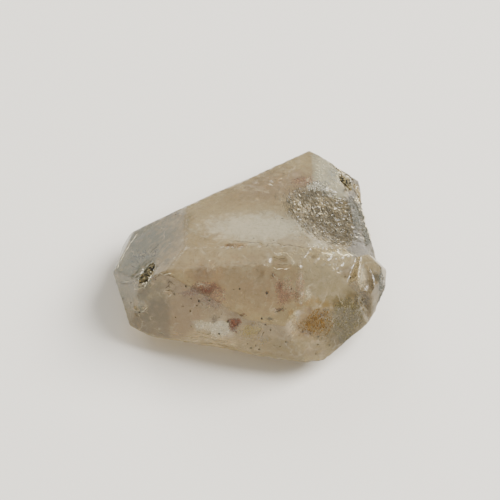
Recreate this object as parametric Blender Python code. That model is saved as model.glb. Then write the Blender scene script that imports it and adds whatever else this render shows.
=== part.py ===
"""An actinolite quartz specimen: one stubby quartz crystal, broken across its right end.

Metres, +Z up. The crystal lies on its flat bed face at Z = 0, with its tip towards -X, its
broken end towards +X and its front towards -Y. Two small crusts of actinolite blades are
pieces of their own: one fills a pit by the tip, and one sits in the broken rim.
"""

import math
import random
from collections import namedtuple

import bmesh
import bpy
from mathutils import Matrix, Vector, noise

MM = 0.001

# All positions below are in mm from this point of the bed, which becomes the origin.
MIDDLE = Vector((-0.122, -0.215, 0.0))

# A natural face: the compass direction that it looks in (degrees from +X towards +Y), its
# tilt from straight up (degrees), and its distance from the point above (mm).
CRYSTAL_FACES = {
    "upper": (91, 23, 16.7),
    "ridge": (-90, 6, 21.6),
    "lower": (-88, 31, 23.0),
    "front": (-97, 76, 22.0),
    "tip_upper": (151, 41.5, 20.4),
    "tip_lower": (-155, 75, 26.7),
    "tip_edge": (157, 70, 23.2),
    "front_left": (-110, 70.5, 22.0),
    "shoulder": (-38, 44, 24.2),
    "front_right": (-57, 64, 24.5),
    "pale": (38, 33, 20.4),
    "dark": (14, 56.5, 22.9),
    "right": (-13, 67, 25.0),
    "rear": (118, 64, 16.0),
    "rear_right": (57, 72, 25.3),
    "bed": (0, 180, 0.0),
    "under_front_left": (-125, 128, 16.2),
    "under_front_right": (-42, 128, 16.7),
    "under_left": (-175, 122, 17.3),
}

# A second, smaller individual grown into the broken end, given in the same way.
KNOB_FACES = {
    "top": (-12, 42, 25.6),
    "upper_right": (40, 66, 18.6),
    "right": (-4, 74, 27.0),
    "lower_right": (-32, 76, 27.1),
    "front": (-85, 66, 16.7),
    "rear": (110, 70, -5.9),
    "inside": (180, 34, 1.5),
    "under": (-10, 130, 14.5),
    "bed": (0, 180, -3.5),
}

# A place on the crystal: its centre (mm), the compass direction and tilt it looks in, and
# the compass bearing that its length runs along (all in degrees).
Spot = namedtuple("Spot", "centre facing tilt bearing")

# Sides that broke away: place, half-length and half-width (mm), height of the steps in the
# fresh surface, the size of a step along and across it (mm), and the size of its cells.
BREAKS = {
    "under_right": (Spot((19.2, 5.0, 1.6), 8, 122, 98), (25.0, 16.0), 1.3, (5.0, 2.6), 1.15),
    "under_front": (Spot((-2.5, -17.0, 2.6), -100, 136, -10), (22.0, 9.0), 1.1, (8.0, 1.7), 1.0),
    "under_rear": (Spot((-4.0, 12.3, 3.0), 118, 118, 28), (24.0, 9.0), 1.0, (6.0, 2.2), 1.1),
}

# Shell-shaped chips: place, its two radii and its depth (mm), and its number of ripples.
CHIPS = {
    "ridge_chip": (Spot((5.2, -9.3, 20.95), -90, 10, 0), (2.3, 1.5), 0.42, 2),
    "front_hollow": (Spot((-6.3, -20.2, 6.4), -101, 104, -6), (8.6, 3.6), 1.15, 3),
    "rear_notch": (Spot((-12.9, 4.9, 15.5), 130, 48, 40), (2.3, 1.2), 0.5, 2),
    "tip_flake": (Spot((-20.9, -13.4, 10.7), -134, 70, -42), (2.5, 1.8), 0.42, 2),
    "knob_scar": (Spot((20.9, -9.6, 13.3), -24, 50, -70), (3.0, 1.2), 0.4, 2),
    "knob_shell": (Spot((23.0, -1.6, 12.6), 50, 58, -60), (2.2, 1.4), 0.4, 2),
    "lower_right_chip": (Spot((18.6, -17.4, 4.8), -48, 96, 42), (3.0, 1.5), 0.5, 2),
    "under_tip_chip": (Spot((-23.4, -7.4, 5.2), -172, 112, -80), (4.4, 2.4), 0.8, 3),
    "rear_foot_chip": (Spot((-4.4, 12.4, 3.6), 118, 104, 28), (6.0, 2.3), 0.8, 3),
    "lip_flake": (Spot((2.4, -21.4, 7.6), -97, 84, -4), (3.0, 1.0), 0.32, 2),
}

# Thin growth layers missing from a natural face: place, how far the layer reaches along and
# across, and its thickness (mm).
LAYERS = {
    "front_layer": (Spot((-9.5, -17.9, 10.2), -110, 70.5, -20), (4.6, 1.1), 0.3),
    "left_layer": (Spot((-21.6, -10.9, 13.7), -155, 75, 115), (2.6, 1.0), 0.12),
}

# The hackled hollow in the upper right: a shallow dish with a torn, ridged floor (mm, degrees).
HOLLOW = Spot((14.8, 0.5, 15.95), 52, 34, -10)
HOLLOW_RADII = (10.5, 7.3)
HOLLOW_DEPTH = 1.25
HOLLOW_CELL = 0.42
HACKLE_HEIGHT = 0.34
HACKLE_LENGTH = 2.0
HACKLE_WIDTH = 0.75
HACKLE_BEARING = -20
HACKLE_FAN = 3.9

# The rim of the broken end is nibbled by small flakes, all along this line (mm).
RIM_LINE = ((13.0, 20.0, 8.9), (18.6, 16.7, 7.4), (21.4, 10.0, 6.4), (23.8, -1.5, 7.2))
RIM_FLAKES = 9
RIM_FLAKE_RADIUS = (0.8, 2.5)
RIM_FLAKE_DEPTH_SHARE = (0.18, 0.32)

# The pit by the tip and the recess in the broken rim: place; length, width and depth (mm).
PIT = (Spot((-19.1, -9.75, 16.6), 160, 36, 62), (5.8, 3.0, 2.6))
RIM_RECESS = (Spot((18.1, 14.0, 9.5), 40, 46, -62), (5.0, 2.5, 2.8))

# The crusts in them: the gap to their walls, how deep they sit, and their blades (mm).
CRUST_GAP = 0.3
CRUST_SINK = 0.35
BLADE_LENGTH = 1.3
BLADE_WIDTH = 0.4
PIT_BLADES = 12
RIM_BLADES = 8

# Cutters: how tall they stand (mm), and how far a bowl's sheet runs past its rim.
SLAB_HEIGHT = 14.0
CHIP_HEIGHT = 4.2
CHIP_CELLS = 16
BOWL_REACH = 1.45
BLOCK = 90.0

# Colour (linear RGB), roughness and metallic value of each mineral.
QUARTZ_FINISH = ((0.42, 0.36, 0.26), 0.3, 0.0)
ACTINOLITE_FINISH = ((0.035, 0.045, 0.025), 0.55, 0.0)


def clear_scene():
    for old in list(bpy.data.objects):
        bpy.data.objects.remove(old)


def finish_of(name, colour, roughness, metallic):
    material = bpy.data.materials.new(name)
    material.use_nodes = True
    shader = material.node_tree.nodes["Principled BSDF"]
    shader.inputs["Base Color"].default_value = (*colour, 1.0)
    shader.inputs["Roughness"].default_value = roughness
    shader.inputs["Metallic"].default_value = metallic
    return material


def as_object(name, shape, place=None):
    """Turns a bmesh, which it frees, into a linked object set down by a 4x4 matrix."""
    bmesh.ops.recalc_face_normals(shape, faces=shape.faces[:])
    mesh = bpy.data.meshes.new(name)
    shape.to_mesh(mesh)
    shape.free()
    made = bpy.data.objects.new(name, mesh)
    bpy.context.scene.collection.objects.link(made)
    if place is not None:
        made.matrix_world = place
    return made


def combine(target, other, operation):
    """Adds an exact Boolean to target and puts the other object out of sight."""
    step = target.modifiers.new(operation.lower() + " " + other.name, "BOOLEAN")
    step.operation = operation
    step.object = other
    other.hide_render = True
    other.display_type = "WIRE"


def outward(facing, tilt):
    """The direction that looks towards `facing` and leans `tilt` from straight up."""
    around, lean = math.radians(facing), math.radians(tilt)
    level = Vector((math.cos(around), math.sin(around), 0)) * math.sin(lean)
    return level + Vector((0, 0, math.cos(lean)))


def seat(spot):
    """The matrix of a place on the crystal: +Z points outward and +X runs along its length."""
    up = outward(spot.facing, spot.tilt)
    bearing = outward(spot.bearing, 90)
    along = (bearing - up * bearing.dot(up)).normalized()
    axes = Matrix((along, up.cross(along), up)).transposed().to_4x4()
    return Matrix.Translation((Vector(spot.centre) - MIDDLE) * MM) @ axes


def faceted_block(name, faces):
    """A convex crystal: a block cut by each of its natural faces in turn."""
    shape = bmesh.new()
    bmesh.ops.create_cube(shape, size=BLOCK * MM)
    for facing, tilt, distance in faces.values():
        normal = outward(facing, tilt)
        everything = shape.verts[:] + shape.edges[:] + shape.faces[:]
        on_face = (normal * distance - MIDDLE) * MM
        cut = bmesh.ops.bisect_plane(
            shape, geom=everything, plane_co=on_face, plane_no=normal, clear_outer=True
        )
        rim = [part for part in cut["geom_cut"] if isinstance(part, bmesh.types.BMEdge)]
        bmesh.ops.edgeloop_fill(shape, edges=rim)
    return as_object(name, shape)


def relief_slab(name, place, half_sizes, cells, height, relief):
    """A cutter whose underside follows relief(u, v), in mm, and whose top is flat."""
    shape = bmesh.new()
    bmesh.ops.create_grid(shape, x_segments=cells[0], y_segments=cells[1], size=1.0)
    for vertex in shape.verts:
        u, v = vertex.co.x * half_sizes[0], vertex.co.y * half_sizes[1]
        vertex.co = Vector((u, v, relief(u, v))) * MM
    sheet = bmesh.ops.extrude_face_region(shape, geom=shape.faces[:])
    for part in sheet["geom"]:
        if isinstance(part, bmesh.types.BMVert):
            part.co.z = height * MM
    return as_object(name, shape, place)


def cells_across(half_sizes, cell):
    return [max(4, round(2 * half / cell)) for half in half_sizes]


def broken_side(name, spot, half_sizes, height, step_size, cell):
    """A slab that breaks a side off the crystal and leaves it stepped and ragged."""

    def relief(u, v):
        patch = Vector((u / step_size[0], v / step_size[1], spot.facing))
        terrace = 3.0 * (0.5 + 0.6 * noise.noise(patch))
        tread = math.floor(terrace)
        riser = min(1.0, 2.5 * (terrace - tread))
        grain = 0.15 * noise.noise(patch * 3.1)
        return height * ((tread + riser) / 3.0 - 0.55) + grain

    return relief_slab(
        name, seat(spot), half_sizes, cells_across(half_sizes, cell), SLAB_HEIGHT, relief
    )


def hackle(u, v):
    """Torn ridges that fan out across the hollow, from 0 in their valleys to 1 on their crests."""
    turn = math.radians(HACKLE_BEARING + HACKLE_FAN * u)
    along = u * math.cos(turn) + v * math.sin(turn)
    across = v * math.cos(turn) - u * math.sin(turn)
    ripple = noise.noise(Vector((along / HACKLE_LENGTH, across / HACKLE_WIDTH, 4.2)))
    return 1.0 - min(1.0, 2.4 * abs(ripple))


def hackled_hollow():
    """The cutter of the shallow dish in the upper right, with its ridged floor."""

    def relief(u, v):
        reach = (u / HOLLOW_RADII[0]) ** 2 + (v / HOLLOW_RADII[1]) ** 2
        torn = HACKLE_HEIGHT * hackle(u, v) * min(1.0, max(0.0, 1.5 - reach))
        return HOLLOW_DEPTH * (reach - 1.0) + torn

    half_sizes = [radius * BOWL_REACH for radius in HOLLOW_RADII]
    cells = cells_across(half_sizes, HOLLOW_CELL)
    return relief_slab("hollow_cutter", seat(HOLLOW), half_sizes, cells, SLAB_HEIGHT, relief)


def chip(name, spot, radii, depth, ripples, cells=CHIP_CELLS):
    """A shallow bowl, with ripples that spread from the end of it that was struck."""

    def relief(u, v):
        reach = (u / radii[0]) ** 2 + (v / radii[1]) ** 2
        from_blow = math.hypot(u + radii[0], v) / (2 * radii[0])
        ripple = 0.1 * math.cos(2 * math.pi * ripples * from_blow) * max(0.0, 1.0 - reach)
        return depth * (reach - 1.0 + ripple)

    half_sizes = [radius * BOWL_REACH for radius in radii]
    counts = (cells, max(6, round(cells * radii[1] / radii[0])))
    return relief_slab(name + "_cutter", seat(spot), half_sizes, counts, CHIP_HEIGHT, relief)


def point_on_line(corners, share):
    """The point at a share (0 to 1) of the way along a line with corners."""
    legs = [(Vector(start), Vector(end)) for start, end in zip(corners, corners[1:])]
    left = share * sum((end - start).length for start, end in legs)
    for start, end in legs:
        if left <= (end - start).length:
            break
        left -= (end - start).length
    return start + (end - start).normalized() * left


def rim_flakes():
    """Small chips of all sizes along the broken rim, each struck at its own angle."""
    draw = random.Random(11)
    flakes = []
    for number in range(RIM_FLAKES):
        share = (number + draw.uniform(0.2, 0.8)) / RIM_FLAKES
        centre = point_on_line(RIM_LINE, share)
        facing = 58 - 52 * share + draw.uniform(-14, 14)
        spot = Spot(centre, facing, draw.uniform(62, 104), facing + 90)
        radius = draw.uniform(*RIM_FLAKE_RADIUS)
        radii = (radius, radius * draw.uniform(0.5, 0.9))
        depth = radius * draw.uniform(*RIM_FLAKE_DEPTH_SHARE)
        flakes.append(chip(f"rim_flake_{number}", spot, radii, depth, 1, 8))
    return flakes


def missing_layer(name, spot, reach, thickness):
    """A cutter that lifts a thin growth layer off part of a face, with an uneven outline."""
    corners = 14
    shape = bmesh.new()
    outline = []
    for corner in range(corners):
        angle = 2 * math.pi * corner / corners
        rim = Vector((math.cos(angle), math.sin(angle), 0))
        wobble = 1.0 + 0.3 * noise.noise(rim * 2 + Vector((reach[0], 0, 0)))
        point = Vector((rim.x * reach[0] * wobble, rim.y * reach[1] * wobble, -thickness))
        outline.append(shape.verts.new(point * MM))
    floor = shape.faces.new(outline)
    lifted = bmesh.ops.extrude_face_region(shape, geom=[floor])
    for part in lifted["geom"]:
        if isinstance(part, bmesh.types.BMVert):
            part.co.z = CHIP_HEIGHT * MM
    return as_object(name + "_cutter", shape, seat(spot))


def pocket(name, place, size, shrink=0.0):
    """An uneven bean shape that makes a pit or, shrunk by a gap, the crust that sits in it."""
    shape = bmesh.new()
    bmesh.ops.create_icosphere(shape, subdivisions=2, radius=1.0)
    for vertex in shape.verts:
        swell = 0.9 + 0.1 * noise.noise(vertex.co * 1.7 + Vector(size))
        half = [swell * side / 2 - shrink for side in size]
        vertex.co = Vector([vertex.co[axis] * half[axis] for axis in range(3)]) * MM
    return as_object(name, shape, place)


def blade(name, place, length, width):
    """One actinolite blade: a flattened six-sided prism with a slanted point."""
    half = width / 2
    shape = bmesh.new()
    bmesh.ops.create_cone(
        shape, cap_ends=True, segments=6, radius1=half * MM, radius2=half * MM, depth=length * MM
    )
    for vertex in shape.verts:
        vertex.co.y *= 0.55
        if vertex.co.z > 0:
            vertex.co.z -= 0.9 * (vertex.co.x + half * MM)
    bmesh.ops.translate(shape, vec=(0, 0, length / 2 * MM), verts=shape.verts[:])
    return as_object(name, shape, place)


def crust(name, spot, size, blade_count, material, seed):
    """A crust of blades on a bed, which sits in its pocket with a small gap all round."""
    draw = random.Random(seed)
    place = seat(spot)
    bed = pocket(name, place, size, shrink=CRUST_GAP)

    def rough_top(u, v):
        return 0.22 * noise.noise(Vector((u * 2.1, v * 2.1, seed)))

    lid_place = place @ Matrix.Translation((0, 0, -CRUST_SINK * MM))
    lid = relief_slab(name + "_lid", lid_place, size[:2], (18, 10), CHIP_HEIGHT, rough_top)
    combine(bed, lid, "DIFFERENCE")
    for number in range(blade_count):
        along = (number + 0.5) / blade_count * 2 - 1
        reach = size[0] / 2 - CRUST_GAP - 0.8
        side = (size[1] / 2 - CRUST_GAP - 0.5) * math.sqrt(1 - along**2)
        root = Vector((along * reach, draw.uniform(-0.7, 0.7) * side, -2.2 * CRUST_SINK))
        inward = 180 if along > 0 else 0
        swing = math.radians(inward + draw.uniform(-16, 16))
        lean = math.radians(draw.uniform(10, 60))
        turned = Matrix.Rotation(swing, 4, "Z") @ Matrix.Rotation(lean, 4, "Y")
        blade_place = place @ Matrix.Translation(root * MM) @ turned
        length = BLADE_LENGTH * draw.uniform(0.6, 1.0)
        width = BLADE_WIDTH * draw.uniform(0.8, 1.2)
        combine(bed, blade(f"{name}_blade_{number}", blade_place, length, width), "UNION")
    bed.data.materials.append(material)
    return bed


def cutters():
    """Everything that broke, chipped or pitted the crystal."""
    for name, values in BREAKS.items():
        yield broken_side(name + "_cutter", *values)
    yield hackled_hollow()
    for name, values in CHIPS.items():
        yield chip(name, *values)
    yield from rim_flakes()
    for name, values in LAYERS.items():
        yield missing_layer(name, *values)
    for name, (spot, size) in (("pit", PIT), ("rim_recess", RIM_RECESS)):
        yield pocket(name + "_cutter", seat(spot), size)


def quartz(material):
    body = faceted_block("quartz_crystal", CRYSTAL_FACES)
    combine(body, faceted_block("knob_block", KNOB_FACES), "UNION")
    for cutter in cutters():
        combine(body, cutter, "DIFFERENCE")
    body.data.materials.append(material)
    return body


def main():
    clear_scene()
    frosted_quartz = finish_of("frosted quartz", *QUARTZ_FINISH)
    dark_green = finish_of("actinolite", *ACTINOLITE_FINISH)
    quartz(frosted_quartz)
    crust("actinolite_pit_crust", *PIT, PIT_BLADES, dark_green, seed=3)
    crust("actinolite_rim_crust", *RIM_RECESS, RIM_BLADES, dark_green, seed=8)


main()
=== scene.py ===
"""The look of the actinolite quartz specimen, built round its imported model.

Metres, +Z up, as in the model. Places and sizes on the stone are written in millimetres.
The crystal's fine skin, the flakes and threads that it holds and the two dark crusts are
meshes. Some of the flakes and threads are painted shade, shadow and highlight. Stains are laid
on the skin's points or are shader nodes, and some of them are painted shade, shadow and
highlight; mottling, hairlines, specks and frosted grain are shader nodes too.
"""

import math
import random
from collections import namedtuple

import bmesh
import bpy
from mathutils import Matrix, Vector, kdtree, noise
from mathutils.bvhtree import BVHTree


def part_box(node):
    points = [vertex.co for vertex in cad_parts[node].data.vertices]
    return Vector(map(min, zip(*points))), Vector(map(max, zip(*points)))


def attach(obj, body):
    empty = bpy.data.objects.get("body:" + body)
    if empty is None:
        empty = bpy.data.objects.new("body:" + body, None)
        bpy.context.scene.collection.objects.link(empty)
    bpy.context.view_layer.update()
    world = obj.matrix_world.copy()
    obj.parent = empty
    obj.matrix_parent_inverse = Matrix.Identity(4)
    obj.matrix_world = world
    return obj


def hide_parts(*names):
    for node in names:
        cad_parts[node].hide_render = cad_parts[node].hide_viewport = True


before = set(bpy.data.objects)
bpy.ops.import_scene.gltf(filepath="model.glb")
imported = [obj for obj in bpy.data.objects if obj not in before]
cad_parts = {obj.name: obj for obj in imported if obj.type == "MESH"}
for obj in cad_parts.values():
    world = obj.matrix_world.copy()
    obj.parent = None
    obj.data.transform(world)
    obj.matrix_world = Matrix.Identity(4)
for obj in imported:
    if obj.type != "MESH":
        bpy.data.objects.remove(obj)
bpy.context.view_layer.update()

MM = 0.001

# The photograph's view: a long lens, high in front of the stone. Small marks are placed by the
# pixel of the photograph that shows them, as (x, y) from its upper left corner.
PHOTO_SIZE = 500
PIXEL = 0.185
CAMERA_TARGET = Vector((0.107, -0.839, 10.0))
CAMERA_ELEVATION = 60
CAMERA_DISTANCE = 1200
SENSOR_WIDTH = 36

# The crystal's skin: even cells, halved where the surface is busiest. A zone is a ball, by its
# middle and radius (mm).
SKIN_CELL = 0.3
FINE_ZONES = (
    ((14.5, 3.0, 15.0), 9.0),
    ((-4.0, -7.3, 21.0), 3.6),
    ((2.0, -8.0, 21.0), 4.0),
    ((8.0, -8.2, 21.0), 3.8),
    ((14.0, -6.5, 19.5), 4.6),
    ((-18.6, -9.5, 15.8), 5.0),
)

# The slow swell and the fine ripple of the grown faces: their heights and lengths (mm).
SWELL_HEIGHT = 0.12
SWELL_LENGTH = 5.0
RIPPLE_HEIGHT = 0.05
RIPPLE_LENGTH = 1.1

# The crystal's long, sharp edges, from this angle (degrees) and length (mm) on, are found by
# points this far apart. They are worn in a band of this width, depth and grain (mm), and small
# flakes are bitten out of them: how many, their radius (mm), and how pale their rims are.
EDGE_ANGLE = 22
EDGE_LENGTH = 1.6
EDGE_STEP = 0.15
WORN_BAND = 0.5
WORN_DEPTH = 0.06
WORN_GRAIN = 0.8
EDGE_BITES = 22
BITE_RADIUS = (0.3, 0.75)
BITE_PALE = (0.0, 0.25)

# The hackled hollow: its middle and half-sizes in pixels, its slant in degrees, and the range
# of length, width, curl (pixels) and depth (mm) of the short curls in it. The curls are
# steepest at its left, turn by so much towards its right, and stray by so much (degrees).
HACKLE_MIDDLE = (328, 217)
HACKLE_REACH = (45, 24)
HACKLE_SLANT = 27
HACKLE_STEEPEST = 60
HACKLE_TURN = 45
HACKLE_STRAY = 16
HACKLE_CUTS = 700
HACKLE_FIBRES = 620
HACKLE_LINES = 190
HACKLE_LENGTH = (4.0, 11.0)
HACKLE_WIDTH = (0.7, 1.5)
HACKLE_CURL = (0.2, 1.0)
HACKLE_DEPTH = (0.05, 0.16)

# Each cut is wider than a thread of the hollow by this factor, and even its borders are this
# deep (mm). A share of the cuts is darkened as painted shade in their hollows, a share is paled
# as painted highlights on their lips, and these are their ranges.
CUT_WIDENING = 1.6
CUT_SINK = 0.05
CUT_DARK = (0.2, 0.6)
CUT_DARK_SHARE = 0.5
CUT_PALE = (0.2, 0.5)
CUT_PALE_SHARE = 0.12

# Threads along the skin: the spacing of their points and the length of their sway (pixels),
# how far single lines, tufts and the hollow's curls wander off their route (pixels), the seed
# of the noise that they wander by, and how deep the middle of each kind lies (mm).
THREAD_STEP = 1.2
THREAD_SWAY = 3.5
LINE_WANDER = 0.9
TUFT_WANDER = 0.8
CURL_WANDER = 0.3
WANDER_SEED = 7
CURL_DEPTH = 0.05
BRIGHT_DEPTH = 0.035
FIBRE_DEPTH = 0.02
DARK_DEPTH = 0.01
RIM_DEPTH = -0.02

# The needles that fan out over the pit: how many there are, the middle and half-sizes of their
# root, the bearing of the fan and its spread (degrees), and the range of their distance from
# the root, their length and their width, in pixels.
SPRAY_NEEDLES = 60
SPRAY_ROOT = (145, 265)
SPRAY_ROOT_REACH = (6, 3)
SPRAY_BEARING = -105
SPRAY_SPREAD = 40
SPRAY_START = (2, 11)
SPRAY_LENGTH = (2, 5)
SPRAY_WIDTH = (0.6, 1.1)

# Flakes of crushed quartz behind the pit's wall: how many to a square millimetre, and the
# range of their size and depth and their thickness (mm). A tilt is how far flakes turn away
# from lying flat: 0 is flat, and above 1 they lie every way.
HALO_FLAKES = 30
HALO_TILT = 0.3
HALO_SIZE = (0.12, 0.28)
HALO_DEPTH = (0.12, 0.4)
HALO_THICKNESS = 0.06

# A flake's thickness, as a share of its half-width. A flake that tilts lies deeper by a share
# of its half-width and a little more (mm), so that it stays under the skin; past this tilt it
# lies no deeper. The border of a bed is uneven by a share of its half-sizes.
FLAKE_THICKNESS = 0.35
CLUSTER_SINK = (1.0, 0.04)
BED_SINK = (0.7, 0.03)
SINK_TILT = 0.8
BED_RAGGED = 0.7

# The blades of the crusts: how far they turn from the way of most, and up from the crust, as
# shares; their width, how far they stay below the stone's hull, and how far their middle
# bulges (mm).
BLADE_TILT = 1.3
BLADE_LIFT = 0.35
BLADE_WIDTH = (0.12, 0.26)
BLADE_CLEARANCE = 0.25
BLADE_BULGE = 0.064

# How light passes through the quartz, its tint being for each metre. It is frosted by its
# mottling, and most near its bed, over these heights (mm).
QUARTZ_IOR = 1.544
QUARTZ_TRANSMISSION = 0.76
ABSORPTION_COLOUR = (0.72, 0.62, 0.42, 1)
ABSORPTION_DENSITY = 60.0
FROST = 0.15
MOTTLED_FROST = 0.12
BED_FROST = 0.5
BED_FROST_HEIGHTS = (3.0, 0.3)

# The frosted grain of the surfaces: its height and, in the quartz, its size (mm), and its
# strength in the quartz and in the other minerals.
GRAIN_HEIGHT = 0.03
QUARTZ_GRAIN = 0.5
QUARTZ_GRAIN_STRENGTH = 0.25
MINERAL_GRAIN_STRENGTH = 0.5

# In the other minerals, the size of the grain as a share of their mottling, and the sheen.
MINERAL_GRAIN = 0.3
MINERAL_SHEEN = 0.3

# Places are shaken, for ragged borders, by a noise of so many swings to a millimetre, over
# this reach (mm). A stain ends and is full at these shares of its radii.
SHAKE_SCALE = 0.9
SHAKE_REACH = 1.6
STAIN_EDGE = (1.05, 0.35)

# The lengths of the quartz's mottling (mm), and how strongly its veils, its clear smoky spots
# and the painted shade in its cuts show.
BROAD_MOTTLE = 7.0
FINE_MOTTLE = 1.3
GRAINY_MOTTLE = 0.5
VEIL_STRENGTH = 0.2
SMOKE_STRENGTH = 0.3
DARK_STRENGTH = 0.9

Stroke = namedtuple("Stroke", "middle along length width depth dark pale")
Rough = namedtuple("Rough", "centre radius height grain pale")
Stain = namedtuple("Stain", "name centre radii turn colour strength ragged")
Cluster = namedtuple("Cluster", "centre spread count size depth")
Tint = namedtuple("Tint", "name facing tilt colour strength")
Heap = namedtuple("Heap", "name light dark tilt clusters beds")
Bed = namedtuple("Bed", "spot reach count size depth")
Panel = namedtuple("Panel", "name corners blur colour strength")
Blot = namedtuple("Blot", "spot reach colour strength")
Line = namedtuple("Line", "route width")
Hairline = namedtuple("Hairline", "spacing width strength colour")
Tuft = namedtuple("Tuft", "middle reach slope length count")
Crumbs = namedtuple("Crumbs", "name route count size spread sink")
Crust = namedtuple("Crust", "name facing tilt count length")
Lamp = namedtuple("Lamp", "name facing tilt distance size watts colour")

# Patches of the skin that are broken or healed over rather than grown flat, by their middle,
# radius, height and grain (mm), and how pale their crests are.
ROUGH_PATCHES = (
    Rough((-18.9, -9.6, 15.9), 4.2, 0.26, 0.7, 0.35),
    Rough((-20.6, -13.0, 10.0), 2.6, 0.22, 0.6, 0.5),
    Rough((-6.0, -8.0, 20.9), 5.0, 0.06, 1.6, 0.0),
    Rough((2.0, -8.0, 20.9), 4.5, 0.08, 1.4, 0.0),
    Rough((6.0, -9.0, 20.7), 3.4, 0.12, 1.2, 0.1),
    Rough((11.0, -7.6, 20.4), 4.4, 0.15, 0.9, 0.15),
    Rough((16.4, -5.6, 17.6), 5.0, 0.3, 0.7, 0.35),
    Rough((20.6, 9.6, 7.6), 6.0, 0.26, 0.8, 0.08),
    Rough((17.8, 16.0, 8.6), 4.0, 0.3, 0.6, 0.5),
    Rough((22.4, 1.0, 7.6), 5.0, 0.24, 0.8, 0.15),
    Rough((20.5, -12.0, 12.0), 4.4, 0.2, 1.0, 0.2),
    Rough((-11.2, 5.6, 15.4), 3.0, 0.2, 0.7, 0.3),
    Rough((1.0, 13.7, 9.2), 10.0, 0.22, 1.1, 0.2),
    Rough((-6.0, 9.5, 6.0), 7.0, 0.22, 1.0, 0.2),
    Rough((-4.5, -19.0, 8.0), 5.5, 0.16, 0.8, 0.35),
    Rough((9.0, -21.0, 4.0), 9.0, 0.16, 0.9, 0.1),
)

# Linear colours of the quartz and of what stains it; SHADE is also the painted shade in its cuts.
QUARTZ_PALE = (0.71, 0.60, 0.35, 1)
QUARTZ_SMOKY = (0.45, 0.36, 0.19, 1)
MILKY = (0.92, 0.82, 0.57, 1)
SMOKE = (0.17, 0.12, 0.055, 1)
SHADE = (0.03, 0.024, 0.013, 1)
CREAM = (1.0, 0.93, 0.68)
CHALK = (1.0, 0.94, 0.74)
OCHRE = (0.40, 0.23, 0.045)
RUST = (0.15, 0.065, 0.014)
UMBER = (0.12, 0.08, 0.04)
ROSE = (0.38, 0.19, 0.12)
MAUVE = (0.26, 0.19, 0.145)
OLIVE = (0.24, 0.19, 0.06)
MOSS = (0.40, 0.33, 0.13)
SLATE = (0.085, 0.085, 0.062)
MIST = (0.42, 0.45, 0.36)

# Hairlines in the quartz, by their spacing and width (mm), and the fine specks all through it.
PALE_HAIRLINES = Hairline(5.0, 0.14, 0.7, MILKY)
DARK_HAIRLINES = Hairline(3.4, 0.10, 0.3, SHADE)
FINE_SPECKS = {"Spacing": 1.5, "Size": 0.16, "Share": 0.12}

# Facets whose colour differs from the body's, by the way they face; a facet is taken for one
# of them when the cosine between the two is above the least match.
FACET_MATCH = 0.996
FACET_TINTS = (
    Tint("pale facet", 38, 33, (0.74, 0.71, 0.54), 0.75),
    Tint("dark facet", 14, 56.5, (0.06, 0.06, 0.045), 0.9),
    Tint("left flank", -155, 75, (0.27, 0.29, 0.235), 0.75),
    Tint("crest", -90, 6, (0.80, 0.69, 0.46), 0.3),
)

# Broad stains that reach into the stone, by their middle and three radii (mm), and their turn.
# The hackle, knob and foot shades are painted shade: darker in the hollow, on the knob and low
# along the front.
STAINS = (
    Stain("tip", (-23.0, -3.0, 12.0), (16, 17, 13), 0, (0.105, 0.155, 0.135), 0.9, 0.4),
    Stain("cream wedge", (2.0, -1.0, 18.6), (13, 6.0, 5), 0, (1.0, 0.94, 0.70), 0.95, 0.5),
    Stain("warm shoulder", (6.0, 11.0, 13.6), (12, 7, 5), 20, (0.38, 0.29, 0.18), 0.8, 0.5),
    Stain("hackle shade", (15.0, 2.6, 14.8), (10.5, 8.0, 7), 0, (0.13, 0.105, 0.065), 0.8, 0.5),
    Stain("rose window", (-2.0, -13.5, 18.6), (15, 6.5, 6), 0, (0.44, 0.31, 0.19), 0.7, 0.6),
    Stain("ochre depth", (12.4, -17.4, 11.8), (7.0, 5.0, 6.0), 0, OCHRE, 0.7, 0.7),
    Stain("olive flank", (18.0, -15.5, 8.0), (8.0, 7.0, 9), 0, OLIVE, 0.9, 0.3),
    Stain("knob shade", (22.0, -9.5, 10.5), (5.5, 6.0, 6.0), 0, (0.26, 0.21, 0.125), 0.75, 0.4),
    Stain("moss foot", (4.0, -21.0, 7.0), (14, 4.0, 6.0), 0, MOSS, 0.7, 0.5),
    Stain("foot shade", (0.0, -19.0, 1.0), (28, 6.0, 4.5), 0, (0.34, 0.26, 0.14), 0.6, 0.4),
)

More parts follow.
